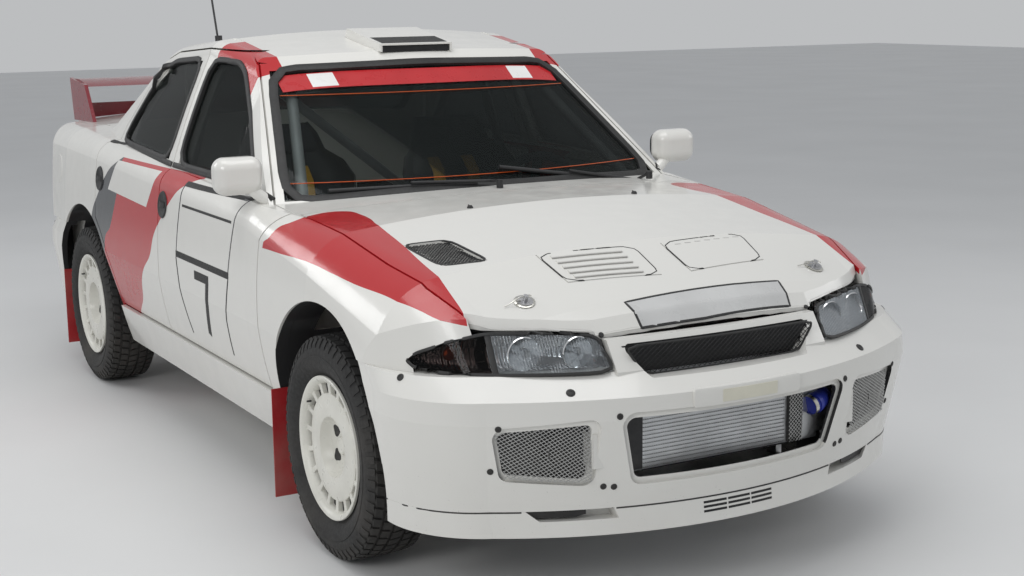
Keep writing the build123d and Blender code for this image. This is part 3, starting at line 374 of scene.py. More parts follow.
DRESS = (
    (SHELL, "body_shell"),
    (LIVERY, "front_fenders bonnet boot_lid door_front_right door_front_left door_rear_right door_rear_left"),
    (BUMPER, "front_bumper rear_bumper"),
    (SHELL_PAINT, "bonnet_vents chin_spoiler sill_covers roof_vent mirror_right mirror_left"),
    (WING_PAINT, "rear_wing"),
    (GLASS, "glass_front_right glass_front_left glass_rear_right glass_rear_left screens"),
    (LAMP_GLASS, "headlamps"),
    (TAIL_LAMP, "tail_lamps"),
    (WHEEL_PAINT, "rim_front_right rim_front_left rim_rear_right rim_rear_left"),
    (RUBBER, "tyre_front_right tyre_front_left tyre_rear_right tyre_rear_left"),
    (PLASTIC_AND_SHADE, "aerial wipers"),
    (FABRIC, "dashboard bucket_seats steering_wheel"),
    (CAGE, "roll_cage"),
    (ALUMINIUM, "cooler_pack sump_guard"),
    (BLOCK, "engine_block"),
    (STEEL, "exhaust bonnet_pins"),
    (IRON, "front_suspension rear_suspension knuckle_right knuckle_left"),
    (FLAP, "mud_flaps"),
)
for material, names in DRESS:
    for name in names.split():
        nodes[name].data.materials.clear()
        nodes[name].data.materials.append(material)

# Finishes of the added pieces
FLUTED = fluted_glass()
SMOKED = clear("smoked lamp lens", (0.50, 0.46, 0.45, 1), 0.10)
REFLECTOR = reflector()
# Black mesh and displays, and the black of the painted shade in openings, slots and gaps
MESH_BLACK_AND_SHADE = plain("black wire mesh and painted shade", (0.02, 0.02, 0.021, 1), 0.42, metal=0.5, grain=200, relief=0.2,
                   dust=0.1)
MESH_GREY = plain("silver wire mesh", (0.46, 0.46, 0.45, 1), 0.35, metal=0.85, grain=200, relief=0.2,
                  dust=0.1)
CHROME = plain("bright reflector", (0.72, 0.73, 0.74, 1), 0.10, metal=1.0, grain=30, relief=0.03, dust=0.0)
SEAL = plain("black window rubber", (0.014, 0.014, 0.014, 1), 0.55, grain=150, relief=0.25, dust=0.12)
BANNER = plain("red banner film", (0.42, 0.014, 0.018, 1), 0.3, grain=30, relief=0.03, dust=0.05)
FILM = plain("white banner film", (0.74, 0.74, 0.71, 1), 0.3, grain=30, relief=0.03, dust=0.05)
ORANGE = plain("orange lamp bulb", (0.62, 0.09, 0.01, 1), 0.2, grain=40, relief=0.05, dust=0.0)
HOSE = plain("blue silicone hose", (0.015, 0.03, 0.30, 1), 0.35, grain=60, relief=0.15, dust=0.1)
WEBBING = plain("yellow harness webbing", (0.62, 0.33, 0.02, 1), 0.75, grain=400, relief=0.8, dust=0.1)
PAD = plain("dark grey seat cloth", (0.035, 0.035, 0.04, 1), 0.92, grain=500, relief=0.9, dust=0.08)
NUT = plain("zinc plated steel", (0.55, 0.54, 0.50, 1), 0.3, metal=1.0, grain=90, relief=0.15, dust=0.15)
PALE = plain("pale grey panel", (0.50, 0.50, 0.49, 1), 0.3, grain=30, relief=0.03, dust=0.05)
PLATE = plain("blank plate", (0.62, 0.60, 0.50, 1), 0.35, grain=50, relief=0.05, dust=0.2)
FIN = plain("cooler fins", (0.42, 0.42, 0.42, 1), 0.30, metal=1.0, grain=200, relief=0.3, dust=0.15)
# Grey painted shade of the louvres' feet and slots
LOUVRE_SHADE = plain("shaded louvre", (0.42, 0.41, 0.39, 1), 0.5, grain=60, relief=0.1, dust=0.1)


class Stock:
    """Corners and faces gathered for one piece."""

    def __init__(self):
        self.corners = []
        self.faces = []

    def add(self, corners, faces):
        first = len(self.corners)
        self.corners += [tuple(corner) for corner in corners]
        self.faces += [tuple(first + i for i in face) for face in faces]

    def rings(self, rings, loop=False, closed=True):
        """A skin over rings of equal count, one after another; not closed, the rings are open lines."""
        count, total = len(rings[0]), len(rings)
        faces = []
        for i in range(total if loop else total - 1):
            here, there = i * count, (i + 1) % total * count
            for j in range(count if closed else count - 1):
                k = (j + 1) % count
                faces.append((here + j, here + k, there + k, there + j))
        if not loop:
            faces.append(tuple(reversed(range(count))))
            faces.append(tuple(range((total - 1) * count, total * count)))
        self.add([corner for ring in rings for corner in ring], faces)

    def neighbours(self, points, i, loop):
        """The points before and after number i of a line."""
        last = len(points) - 1
        if loop:
            return Vector(points[i - 1]), Vector(points[(i + 1) % (last + 1)])
        return Vector(points[max(i - 1, 0)]), Vector(points[min(i + 1, last)])

    def tube(self, points, radius, sides=8, loop=False):
        points = [Vector(point) for point in points]
        turns = [math.tau * k / sides for k in range(sides)]
        rings = []
        up = None
        for i, point in enumerate(points):
            before, after = self.neighbours(points, i, loop)
            ahead = (after - before).normalized()
            up = up if up is not None else ahead.orthogonal()
            up = (up - ahead * up.dot(ahead)).normalized()
            across = ahead.cross(up)
            rings.append([point + (up * math.cos(t) + across * math.sin(t)) * radius for t in turns])
        self.rings(rings, loop)

    def strip(self, rim, wide, thick, loop=False, sink=0.002):
        """A band with rounded shoulders that lies on a surface along its (spot, normal) pairs."""
        section = ((-0.5, -sink), (-0.5, thick * 0.55), (-0.34, thick), (0.34, thick),
                   (0.5, thick * 0.55), (0.5, -sink))
        spots = [spot for spot, _ in rim]
        rings = []
        for i, (spot, normal) in enumerate(rim):
            before, after = self.neighbours(spots, i, loop)
            across = (after - before).cross(normal).normalized()
            rings.append([Vector(spot) + across * wide * u + Vector(normal) * v for u, v in section])
        self.rings(rings, loop)

    def trim(self, place, points, wide, thick, **more):
        """A strip along the pairs that place finds for the points."""
        self.strip([place(*point) for point in points], wide, thick, **more)

    def turned(self, profile, centre, axis, steps=32, closed=True):
        """A profile of (along, radius) turned round an axis through centre."""
        axis = Vector(axis).normalized()
        up = axis.orthogonal().normalized()
        across = axis.cross(up)
        rings = []
        for k in range(steps):
            turn = math.tau * k / steps
            out = up * math.cos(turn) + across * math.sin(turn)
            rings.append([Vector(centre) + axis * along + out * radius for along, radius in profile])
        self.rings(rings, loop=True, closed=closed)

    def domed(self, profile, centre, axis, steps):
        """An open profile turned round an axis, such as a button's face."""
        self.turned(profile, centre, axis, steps, closed=False)

    def slab(self, outline, shift):
        """A flat outline of corners given thickness by shift."""
        self.rings([outline, [Vector(corner) + Vector(shift) for corner in outline]])

    def block(self, low, high):
        (x0, y0, z0), (x1, y1, z1) = low, high
        self.slab([(x0, y0, z0), (x1, y0, z0), (x1, y1, z0), (x0, y1, z0)], (0, 0, z1 - z0))

    def layer(self, rows, thick):
        """A grid of (spot, normal) rows as a sheet that stands thick above the surface."""
        rings = []
        for row in rows:
            top = [spot + normal * thick for spot, normal in row]
            base = [spot - normal * 0.0005 for spot, normal in reversed(row)]
            rings.append(top + base)
        self.rings(rings)

    def spread(self, place, u0, u1, levels, count, thick):
        """A sheet from u0 to u1 at each of the levels, laid on the spots that place finds."""
        rows = [between((u0, level), (u1, level), count) for level in levels]
        self.layer([[place(*point) for point in row] for row in rows], thick)

    def piece(self, name, material, body="body", smooth=35, slot=None, replaces=()):
        mesh = bpy.data.meshes.new(name)
        mesh.from_pydata(self.corners, [], self.faces)
        work = bmesh.new()
        work.from_mesh(mesh)
        bmesh.ops.recalc_face_normals(work, faces=work.faces)
        work.to_mesh(mesh)
        work.free()
        mesh.polygons.foreach_set("use_smooth", [True] * len(mesh.polygons))
        mesh.set_sharp_from_angle(angle=math.radians(smooth))
        mesh.materials.append(material)
        made = bpy.data.objects.new(name, mesh)
        bpy.context.scene.collection.objects.link(made)
        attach(made, body)
        if replaces:
            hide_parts(*replaces)
        return made


TREES = {}


def cast(name, start, way):
    """The spot and outward normal where a ray first meets a CAD node, or None."""
    if name not in TREES:
        mesh = nodes[name].data
        TREES[name] = BVHTree.FromPolygons([corner.co for corner in mesh.vertices],
                                           [face.vertices for face in mesh.polygons])
    way = Vector(way).normalized()
    spot, normal, _, _ = TREES[name].ray_cast(Vector(start), way)
    if spot is None:
        return None
    return spot, (-normal if normal.dot(way) > 0 else normal)


def onto(name, start, way, reach=2.0):
    """cast() within reach, or the spot of the node nearest to the ray where that misses."""
    start, way = Vector(start), Vector(way).normalized()
    found = cast(name, start, way)
    if found and (found[0] - start).length < reach:
        return found
    tries = [TREES[name].find_nearest(start + way * reach * k / 80) for k in range(81)]
    spot, normal, _, _ = min(tries, key=lambda item: item[3])
    return spot, (-normal if normal.dot(way) > 0 else normal)


def from_front(name, x, z):
    return onto(name, (x, AHEAD, z), REARWARD)


def from_rear(name, x, z):
    return onto(name, (x, BEHIND, z), FORWARD)


def from_side(name, side, y, z):
    return onto(name, (side * BESIDE, y, z), (-side, 0, 0))


def from_above(name, x, y, z=OVER_BONNET):
    return onto(name, (x, y, z), DOWN)


def on_screen(x, z):
    return onto("screens", (x, -1.9, z), REARWARD)


def between(start, end, count):
    """The count + 1 even spots from start to end."""
    return [tuple(a + (b - a) * k / count for a, b in zip(start, end)) for k in range(count + 1)]


def backed(row, depth):
    """A row of spots, then the same spots set back by depth, the other way round."""
    return row + [spot + Vector((0, depth, 0)) for spot in reversed(row)]


def paced(outline, step):
    """Points about a step apart round an outline, its corners kept."""
    points = []
    for (u0, v0), (u1, v1) in edges_of(outline):
        count = max(1, round(math.hypot(u1 - u0, v1 - v0) / step))
        points += between((u0, v0), (u1, v1), count)[:-1]
    return points


def eased(outline):
    """An outline with its corners cut to soft bends."""
    for _ in range(2):
        soft = []
        for (u0, v0), (u1, v1) in edges_of(outline):
            reach = min(0.12, 0.04 / max(math.hypot(u1 - u0, v1 - v0), 1e-6))
            soft.append((u0 + (u1 - u0) * reach, v0 + (v1 - v0) * reach))
            soft.append((u1 + (u0 - u1) * reach, v1 + (v0 - v1) * reach))
        outline = soft
    return outline


def shrunk(outline, share):
    u = sum(point[0] for point in outline) / len(outline)
    v = sum(point[1] for point in outline) / len(outline)
    return [(u + (a - u) * share, v + (b - v) * share) for a, b in outline]


def anticlockwise(outline):
    area = sum(u0 * v1 - u1 * v0 for (u0, v0), (u1, v1) in edges_of(outline))
    return list(reversed(outline)) if area < 0 else outline


def crossed(stock, outline, spacing, angles, wire, place):
    """Crossed wires at angles in degrees inside a convex outline; place(u, v) gives their spots."""
    for angle in angles:
        along = (math.cos(math.radians(angle)), math.sin(math.radians(angle)))
        offsets = [-u * along[1] + v * along[0] for u, v in outline]
        for k in range(math.ceil(min(offsets) / spacing), math.floor(max(offsets) / spacing) + 1):
            cuts = []
            for (u0, v0), (u1, v1) in edges_of(outline):
                d0 = -u0 * along[1] + v0 * along[0] - k * spacing
                d1 = -u1 * along[1] + v1 * along[0] - k * spacing
                if d0 * d1 < 0:
                    share = d0 / (d0 - d1)
                    cuts.append((u0 + (u1 - u0) * share, v0 + (v1 - v0) * share))
            if len(cuts) == 2 and math.dist(*cuts) > 3 * wire:
                count = max(1, round(math.dist(*cuts) / 0.03))
                stock.tube([place(u, v) for u, v in between(*cuts, count)], wire, 4)


def seal(stock, pane, carrier, outline, start, out, wide, thick):
    """A rubber on the carrier round a pane; start(u, v) is a spot and a way towards the pane."""
    rim = [onto(pane, *start(u, v), 1.9) for u, v in paced(eased(outline), 0.025)]
    total = len(rim)
    centre = sum((spot for spot, _ in rim), Vector()) / total
    raised, lifts = [], []
    for i, (spot, normal) in enumerate(rim):
        ahead = rim[(i + 1) % total][0] - rim[i - 1][0]
        side = ahead.cross(normal).normalized()
        if side.dot(spot - centre) < 0:
            side = -side
        raised.append(spot + side * out)
        above = raised[-1] + normal * 0.05
        found = cast(carrier, above, -normal)
        lifts.append(0.05 - (found[0] - above).length if found else None)
    known = sorted(lift for lift in lifts if lift is not None and abs(lift) < 0.04)
    usual = known[len(known) // 2] if known else 0.004
    even = [usual if lift is None or abs(lift - usual) > 0.030 else lift for lift in lifts]
    high = [max(even[(i + k) % total] for k in (-1, 0, 1)) for i in range(total)]
    soft = [sum(high[(i + k) % total] for k in (-1, 0, 1)) / 3 for i in range(total)]
    lifted = [(spot + normal * lift, normal) for spot, (_, normal), lift in zip(raised, rim, soft)]
    stock.strip(lifted, wide, thick, loop=True, sink=0.012)


def gravel_tyre(centre):
    """A carcass turned round the axle, with rows of tread blocks and shoulder lugs."""
    stock = Stock()
    half = [(0.0800, 0.1906), (0.0800, 0.211), (0.0860, 0.220), (0.0955, 0.236), (0.1005, 0.252),
            (0.1020, 0.264), (0.0998, 0.266), (0.1012, 0.270), (0.0990, 0.284), (0.0945, 0.297),
            (0.0880, 0.309), (0.0800, 0.3145), (0.0400, 0.3165)]
    profile = half + [(0.0, 0.317)] + [(-x, r) for x, r in reversed(half)]
    stock.turned(profile, centre, (1, 0, 0), 96)
    pitch = math.tau / TREAD_PITCHES
    crown = ((0.0, TYRE_R - 0.0004), (0.050, TYRE_R - 0.0014), (0.085, TYRE_R - 0.0042), (0.092, 0.3080),
             (0.098, 0.2960))

    def top(x):
        x = abs(x)
        for (x0, r0), (x1, r1) in zip(crown, crown[1:]):
            if x <= x1:
                return r0 + (r1 - r0) * (x - x0) / (x1 - x0)
        return crown[-1][1]

    def spot(x, r, turn):
        return (centre[0] + x, centre[1] + r * math.sin(turn), centre[2] + r * math.cos(turn))

    # Rows of blocks: inner and outer edge, and their shift in pitches
    rows = ((-0.0850, -0.0600, 0.0), (-0.0530, -0.0235, 0.5), (-0.0165, 0.0165, 0.0),
            (0.0235, 0.0530, 0.5), (0.0600, 0.0850, 0.0))
    for x0, x1, shift in rows:
        lean = math.copysign(0.006, x0 + x1) / TYRE_R
        for k in range(TREAD_PITCHES):
            rings = []
            for share in (0.0, 0.38, 0.76):
                turn = pitch * (k + shift + share)
                rings.append([spot(x0, 0.310, turn), spot(x1, 0.310, turn + lean),
                              spot(x1 - 0.0015, top(x1), turn + lean), spot(x0 + 0.0015, top(x0), turn)])
            stock.rings(rings)
    lug = ((0.0840, 0.306), (0.0875, top(0.0875)), (0.0975, 0.2975), (0.0985, 0.2890), (0.0930, 0.2890))
    for way in (-1, 1):
        for k in range(TREAD_PITCHES):
            turns = [pitch * (k + 0.5 + share) for share in (0.0, 0.6)]
            stock.rings([[spot(way * x, r, turn) for x, r in lug] for turn in turns])
    return stock


def spoke(turn):
    """The way outwards and the way across at a turn round the axle."""
    return Vector((0, math.sin(turn), math.cos(turn))), Vector((0, math.cos(turn), -math.sin(turn)))


def rim_body(centre, out):
    """A white rim: barrel, flat dish with a sunk centre, and a band of bridges between its slots."""
    rim = Stock()
    rim.turned([(-0.092, 0.208), (-0.084, 0.208), (-0.081, 0.1895), (0.081, 0.1895), (0.084, 0.208),
                (0.0905, 0.208), (0.092, 0.206), (0.092, 0.202), (0.088, 0.1945), (0.080, 0.1890),
                (0.072, 0.1850), (0.060, 0.1845), (-0.080, 0.1845), (-0.092, 0.184)], centre, out, 72)
    rim.turned([(0.060, 0.1555), (0.0725, 0.1560), (0.0745, 0.1545), (0.0765, 0.1480), (0.0785, 0.0930),
                (0.0765, 0.0885), (0.0560, 0.0800), (0.0470, 0.0720), (0.0400, 0.0300), (0.0360, 0.0285),
                (0.0330, 0.0285), (0.0330, 0.0740), (0.0460, 0.0860), (0.0640, 0.0920)], centre, out, 72)
    # Sections of a bridge: radius, half width, and how far out its face lies
    bridge = ((0.1530, 0.0095, 0.0728), (0.1600, 0.0080, 0.0735), (0.1700, 0.0074, 0.0742),
              (0.1800, 0.0080, 0.0750), (0.1870, 0.0100, 0.0765))
    for k in range(RIM_BRIDGES):
        up, flat = spoke(math.tau * (k + 0.25) / RIM_BRIDGES)
        rings = []
        for radius, half, face in bridge:
            section = ((-half, 0.058), (-half, face - 0.002), (0.002 - half, face), (half - 0.002, face),
                       (half, face - 0.002), (half, 0.058))
            rings.append([centre + up * radius + flat * u + out * v for u, v in section])
        rim.rings(rings)
    return rim


def hub_opening_shade(centre, out):
    """Painted shade: the dark faces in the four three-cornered openings round the hub."""
    wells = Stock()
    for k in range(4):
        up, flat = spoke(math.tau * k / 4 + math.pi / 4)
        front, back = [], []
        for n in range(24):
            angle = math.tau * n / 24
            radius = 0.0160 * (1 + 0.16 * math.cos(3 * angle))
            spot = up * (0.0520 + math.cos(angle) * radius) + flat * math.sin(angle) * radius * 1.15
            lift = 0.0400 + 0.0070 * (spot.length - 0.030) / 0.042
            front.append(centre + spot + out * (lift + 0.0012))
            back.append(centre + spot + out * (lift - 0.004))
        wells.rings([front, back])
    return wells


def wheel(end, side, hand):
    """One wheel: tyre, rim, hub cap, painted shade in the hub's openings, brake disc, painted shade behind
    the slots, and the valve.
    """
    body = f"wheel_{end}_{hand}"
    hub = (side * TRACK[end], AXLE[end], TYRE_R)
    centre = Vector(hub)
    out = Vector((side, 0, 0))
    tyre = gravel_tyre(hub)
    tyre.piece(f"gravel_tyre_{end}_{hand}", RUBBER, body, 30, replaces=(f"tyre_{end}_{hand}",))
    rim = rim_body(centre, out)
    rim.piece(f"white_rim_{end}_{hand}", WHEEL_PAINT, body, 32, replaces=(f"rim_{end}_{hand}",))
    cap = Stock()
    cap.domed([(0.038, 0.0285), (0.044, 0.0280), (0.050, 0.0240), (0.0515, 0.0180), (0.0505, 0.0165),
               (0.0505, 0.0)], centre, out, 40)
    cap.piece(f"hub_cap_{end}_{hand}", WHEEL_PAINT, body, 30)
    hub_opening_shade(centre, out).piece(f"hub_opening_shade_{end}_{hand}", MESH_BLACK_AND_SHADE, body, 30)
    disc = Stock()
    disc.turned([(0.0300, 0.027), (0.0300, 0.080), (0.012, 0.084), (0.012, 0.138), (-0.010, 0.138),
                 (-0.010, 0.074), (0.020, 0.074), (0.020, 0.027)], centre, out, 64)
    disc.piece(f"brake_disc_{end}_{hand}", IRON, body, 30)
    shade = Stock()
    shade.turned([(0.0588, 0.1550), (0.0595, 0.1560), (0.0595, 0.1845), (0.0570, 0.1845)], centre, out, 72)
    shade.piece(f"slot_shade_{end}_{hand}", MESH_BLACK_AND_SHADE, body, 30)
    valve = Stock()
    stem = centre + out * 0.0745 + spoke(0.96)[0] * 0.181
    valve.tube([stem, stem + out * 0.008, stem + out * 0.014], 0.0030)
    valve.piece(f"valve_{end}_{hand}", SEAL, body)


def wheels():
    for end in TRACK:
        for side, hand in SIDES:
            wheel(end, side, hand)


def span_at(outline, u):
    """The lowest and highest v of a convex outline at u."""
    found = []
    for (u0, v0), (u1, v1) in edges_of(outline):
        if min(u0, u1) <= u <= max(u0, u1) and u0 != u1:
            found.append(v0 + (v1 - v0) * (u - u0) / (u1 - u0))
    return min(found), max(found)


def lamp_front(side, x, z):
    return onto("headlamps", (side * x, -2.4, z), REARWARD)


def lamp_unit(part, side, hand, x0, x1, count, deep, glass):
    """A lens over the lamp's face from x0 to x1, and a ribbed bucket of a depth behind it."""
    rings, columns = [], []
    middle = (x0 + x1) / 2
    for (x,) in between((x0,), (x1,), count):
        low, high = span_at(LAMP, x)
        low, high = low + 0.0025, max(high - 0.0025, low + 0.004)
        face = [lamp_front(side, x, z)[0] for (z,) in between((low,), (high,), 6)]
        rings.append(backed(face, 0.003))
        y = max(spot.y for spot in face)
        column = [(side * x, y + 0.004, low)]
        for n in range(9):
            bow = deep * (0.65 + 0.35 * math.sin(math.pi * n / 8))
            z = 0.690 + (low + (high - low) * n / 8 - 0.690) * 0.88
            column.append((side * (middle + (x - middle) * 0.94), y + bow, z))
        columns.append(column + [(side * x, y + 0.004, high)])
    lens = Stock()
    lens.rings(rings)
    lens.piece(f"{part}_lens_{hand}", glass, "body", 50,
               replaces=("headlamps",) if (part, hand) == ("headlamp", "right") else ())
    bucket = Stock()
    tall = len(columns[0])
    bucket.add([spot for column in columns for spot in column],
               [(a * tall + b, a * tall + b + 1, (a + 1) * tall + b + 1, (a + 1) * tall + b)
                for a in range(count) for b in range(tall - 1)])
    bucket.piece(f"{part}_bucket_{hand}", REFLECTOR, "body", 60)


def reflector_bowls(side, hand):
    """The two bright bowls of a headlamp with their bulbs' shields."""
    bowls = Stock()
    for x, radius in ((0.418, 0.038), (0.545, 0.041)):
        spot, normal = lamp_front(side, x, 0.690)
        ahead = (Vector(FORWARD) + Vector((normal.x, normal.y, 0)) * 0.5).normalized()
        base = spot + Vector((0, 0.012, 0))
        radii = [radius * k / 9 for k in range(1, 10)]
        bowls.domed([(-0.034 * (1 - (r / radius) ** 2), r) for r in radii], base, ahead, 40)
        bowls.tube([base - ahead * 0.034, base - ahead * 0.010], 0.006, 12)
        bowls.domed([(0.0, radius), (0.0035, radius + 0.002), (0.0, radius + 0.004)], base, ahead, 40)
    bowls.piece(f"reflector_bowls_{hand}", CHROME, "body", 40)


def indicator_bulb(side, hand):
    bulb = Stock()
    base = lamp_front(side, 0.700, 0.688)[0] + Vector((0, 0.012, 0))
    bulb.domed([(0.0, 0.0), (0.001, 0.010), (0.005, 0.016), (0.012, 0.0175), (0.020, 0.012),
                (0.026, 0.010), (0.026, 0.0)], base, REARWARD, 24)
    bulb.piece(f"indicator_bulb_{hand}", ORANGE, "body", 40)


def lamp_gasket(side, hand):
    """The rubber round a lamp and the post between its two lenses."""
    gasket = Stock()

    def at(x, z):
        return lamp_front(side, x, z)

    gasket.trim(at, paced(eased(LAMP), 0.018), 0.0085, 0.0035, loop=True, sink=0.006)
    gasket.trim(at, between((0.6205, 0.645), (0.6205, 0.740), 6), 0.015, 0.002, sink=0.012)
    gasket.piece(f"lamp_gasket_{hand}", SEAL, "body", 40)


def head_lamps():
    for side, hand in SIDES:
        lamp_unit("headlamp", side, hand, 0.352, 0.613, 26, 0.045, FLUTED)
        lamp_unit("indicator", side, hand, 0.628, 0.779, 16, 0.036, SMOKED)
        reflector_bowls(side, hand)
        indicator_bulb(side, hand)
        lamp_gasket(side, hand)


def nose_y(x):
    """How far back the front bumper's face lies at x."""
    return -2.155 + 1.3238 - math.sqrt(1.3238 ** 2 - x * x)


def grille():
    """The grille's mesh with a dark backing as painted shade behind it, and its rubber edge."""
    outline = [(-0.306, 0.698), (-0.250, 0.626), (0.250, 0.626), (0.306, 0.698)]
    rim = [(-0.311, 0.702), (0.311, 0.702), (0.254, 0.622), (-0.254, 0.622)]

    def bowed(x, y, z):
        return x, y + x * x * 0.18, z

    mesh = Stock()
    crossed(mesh, outline, 0.0105, (38, -38), 0.0011, lambda x, z: bowed(x, -2.049, z))
    # Painted shade: a dark sheet behind the mesh
    mesh.slab([bowed(x, -2.030, z) for x, z in paced(outline, 0.03)], (0, 0.003, 0))
    mesh.piece("grille_mesh_and_shade", MESH_BLACK_AND_SHADE)
    edge = Stock()
    edge.tube([bowed(x, -2.052, z) for x, z in paced(eased(rim), 0.02)], 0.0035, 6, loop=True)
    edge.piece("grille_edge", SEAL)


def intercooler():
    """The intercooler in the lower opening: dark sheets as painted shade in its gaps, rows of fins, its tank,
    mesh and cover.
    """
    # Painted shade: thin dark sheets behind the fins and beside the tank
    depth = Stock()
    depth.block((-0.264, -2.0446, 0.368), (0.208, -2.0436, 0.538))
    depth.block((0.264, -2.0300, 0.340), (0.346, -2.0280, 0.545))
    depth.piece("intercooler_gap_shade", MESH_BLACK_AND_SHADE)
    # A fin's front as x, y and z from its corner
    section = ((0.0, -2.0452, 0.0), (0.0044, -2.0452, 0.0), (0.0044, -2.0490, 0.0010),
               (0.0030, -2.0500, 0.0022), (0.0, -2.0475, 0.0030))
    fins = Stock()
    for row in range(15):
        for column in range(66):
            x, z = -0.261 + 0.0071 * column, 0.376 + 0.0106 * row
            front = [(x + u, y, z + v) for u, y, v in section]
            fins.rings([front, [(u, -2.0440, v) for u, _, v in front]])
    fins.piece("intercooler_fins", FIN)
    tank = Stock()
    rings = []
    for x in (0.214, 0.262):
        bow = [(x, -2.050 - 0.004 * math.sin(math.pi * k / 6), 0.374 + 0.158 * k / 6) for k in range(7)]
        rings.append(bow + [(x, -2.046, 0.532), (x, -2.046, 0.374)])
    tank.rings(rings)
    tank.piece("intercooler_tank", PLASTIC_AND_SHADE, slot="cooler_aluminium")
    wrap = Stock()
    crossed(wrap, [(0.214, 0.374), (0.262, 0.374), (0.262, 0.532), (0.214, 0.532)], 0.008, (45, -45),
            0.0009, lambda x, z: (x, -2.0556, z))
    wrap.piece("tank_mesh", MESH_GREY)
    cover = Stock()
    cover.slab([(-0.338, -2.047, 0.376), (-0.266, -2.051, 0.376), (-0.266, -2.051, 0.528),
                (-0.338, -2.047, 0.528)], (0, 0.004, 0))
    cover.piece("intercooler_cover", PLASTIC_AND_SHADE)


def intercooler_hose():
    """The blue hose from the tank, with ribs and two clips."""
    route = [Vector(spot) for spot in ((0.284, -2.060, 0.470), (0.300, -2.058, 0.474), (0.322, -2.050, 0.478),
                                       (0.342, -2.032, 0.480), (0.352, -2.008, 0.480))]
    hose, clips = Stock(), Stock()
    hose.tube(route, 0.027, 24)
    for stock, at, inner, outer, steps in ((hose, 1, 0.0278, 0.0295, 24), (hose, 3, 0.0278, 0.0295, 24),
                                           (clips, 0, 0.0272, 0.0285, 28), (clips, 4, 0.0272, 0.0285, 28)):
        ahead = route[min(at + 1, 4)] - route[max(at - 1, 0)]
        band = [(-0.006, inner), (-0.006, outer), (0.006, outer), (0.006, inner)]
        stock.turned(band, route[at], ahead, steps)
    hose.piece("intercooler_hose", HOSE, "body", 40)
    clips.piece("hose_clips", NUT, "body", 30)


def fog_openings():
    """The meshed openings beside the intercooler, each with a duct and a dark backing as painted shade."""
    right = [(-0.656, 0.512), (-0.424, 0.528), (-0.427, 0.367), (-0.630, 0.387)]
    for side, hand in SIDES:
        outline = anticlockwise([(-side * x, z) for x, z in right])
        weave = Stock()
        crossed(weave, outline, 0.0080, (50 * side, -28 * side), 0.0012,
                lambda x, z: (x, nose_y(x) + 0.024, z))
        weave.piece(f"fog_mesh_{hand}", MESH_GREY)
        duct = Stock()
        spot = (side * 0.478, nose_y(0.478) + 0.046, 0.448)
        duct.turned([(0.060, 0.044), (0.0, 0.048), (-0.003, 0.052), (0.002, 0.056), (0.060, 0.052)], spot,
                    REARWARD, 40)
        duct.domed([(0.010, 0.0), (0.010, 0.046), (0.014, 0.046), (0.014, 0.0)], spot, REARWARD, 40)
        duct.piece(f"fog_duct_{hand}", PLASTIC_AND_SHADE)
        # Painted shade: a dark sheet behind the opening
        panel = Stock()
        panel.slab([(x, nose_y(x) + 0.062, z) for x, z in shrunk(outline, 1.10)], (0, 0.004, 0))
        panel.piece(f"fog_opening_shade_{hand}", PLASTIC_AND_SHADE)


def bumper_fixings():
    """Round fixings of both bumpers."""
    # Columns: bumper, x, z and radius
    places = (("front", 0.653, 0.522, 0.0085), ("front", 0.369, 0.542, 0.0085),
              ("front", 0.366, 0.349, 0.0085), ("front", 0.660, 0.405, 0.0085),
              ("front", 0.393, 0.352, 0.0085), ("front", 0.476, 0.604, 0.012),
              ("front", 0.815, 0.632, 0.010), ("rear", 0.30, 0.60, 0.009),
              ("rear", 0.62, 0.59, 0.009), ("rear", 0.82, 0.61, 0.009))
    for side, hand in SIDES:
        for k, (end, x, z, radius) in enumerate(places):
            look_from = from_front if end == "front" else from_rear
            spot, normal = look_from(f"{end}_bumper", side * x, z)
            button = Stock()
            button.domed([(-0.002, 0.0), (-0.002, radius), (0.0012, radius), (0.0028, radius * 0.82),
                          (0.0030, radius * 0.45), (0.0018, radius * 0.38), (0.0018, 0.0)], spot, normal, 20)
            button.piece(f"fixing_{k}_{hand}", SEAL, "body", 40)


def bonnet_fixings():
    """Studs near the bonnet's front edge and the washer jets near its rear."""
    for side, hand in SIDES:
        spot, normal = from_above("bonnet", side * 0.340, -1.985)
        stud = Stock()
        stud.domed([(-0.002, 0.0), (-0.002, 0.0075), (0.001, 0.0075), (0.0025, 0.006), (0.0025, 0.0)],
                   spot, normal, 16)
        stud.piece(f"bonnet_stud_{hand}", SEAL, "bonnet", 40)
        spot, normal = from_above("bonnet", side * 0.295, -1.180)
        jet = Stock()
        jet.domed([(-0.002, 0.0), (-0.002, 0.010), (0.004, 0.009), (0.008, 0.006), (0.009, 0.0)],
                  spot, normal, 16)
        jet.tube([spot + normal * 0.005, spot + normal * 0.007 + Vector((0, 0.010, 0.001))], 0.0022)
        jet.piece(f"washer_jet_{hand}", SEAL, "bonnet", 40)


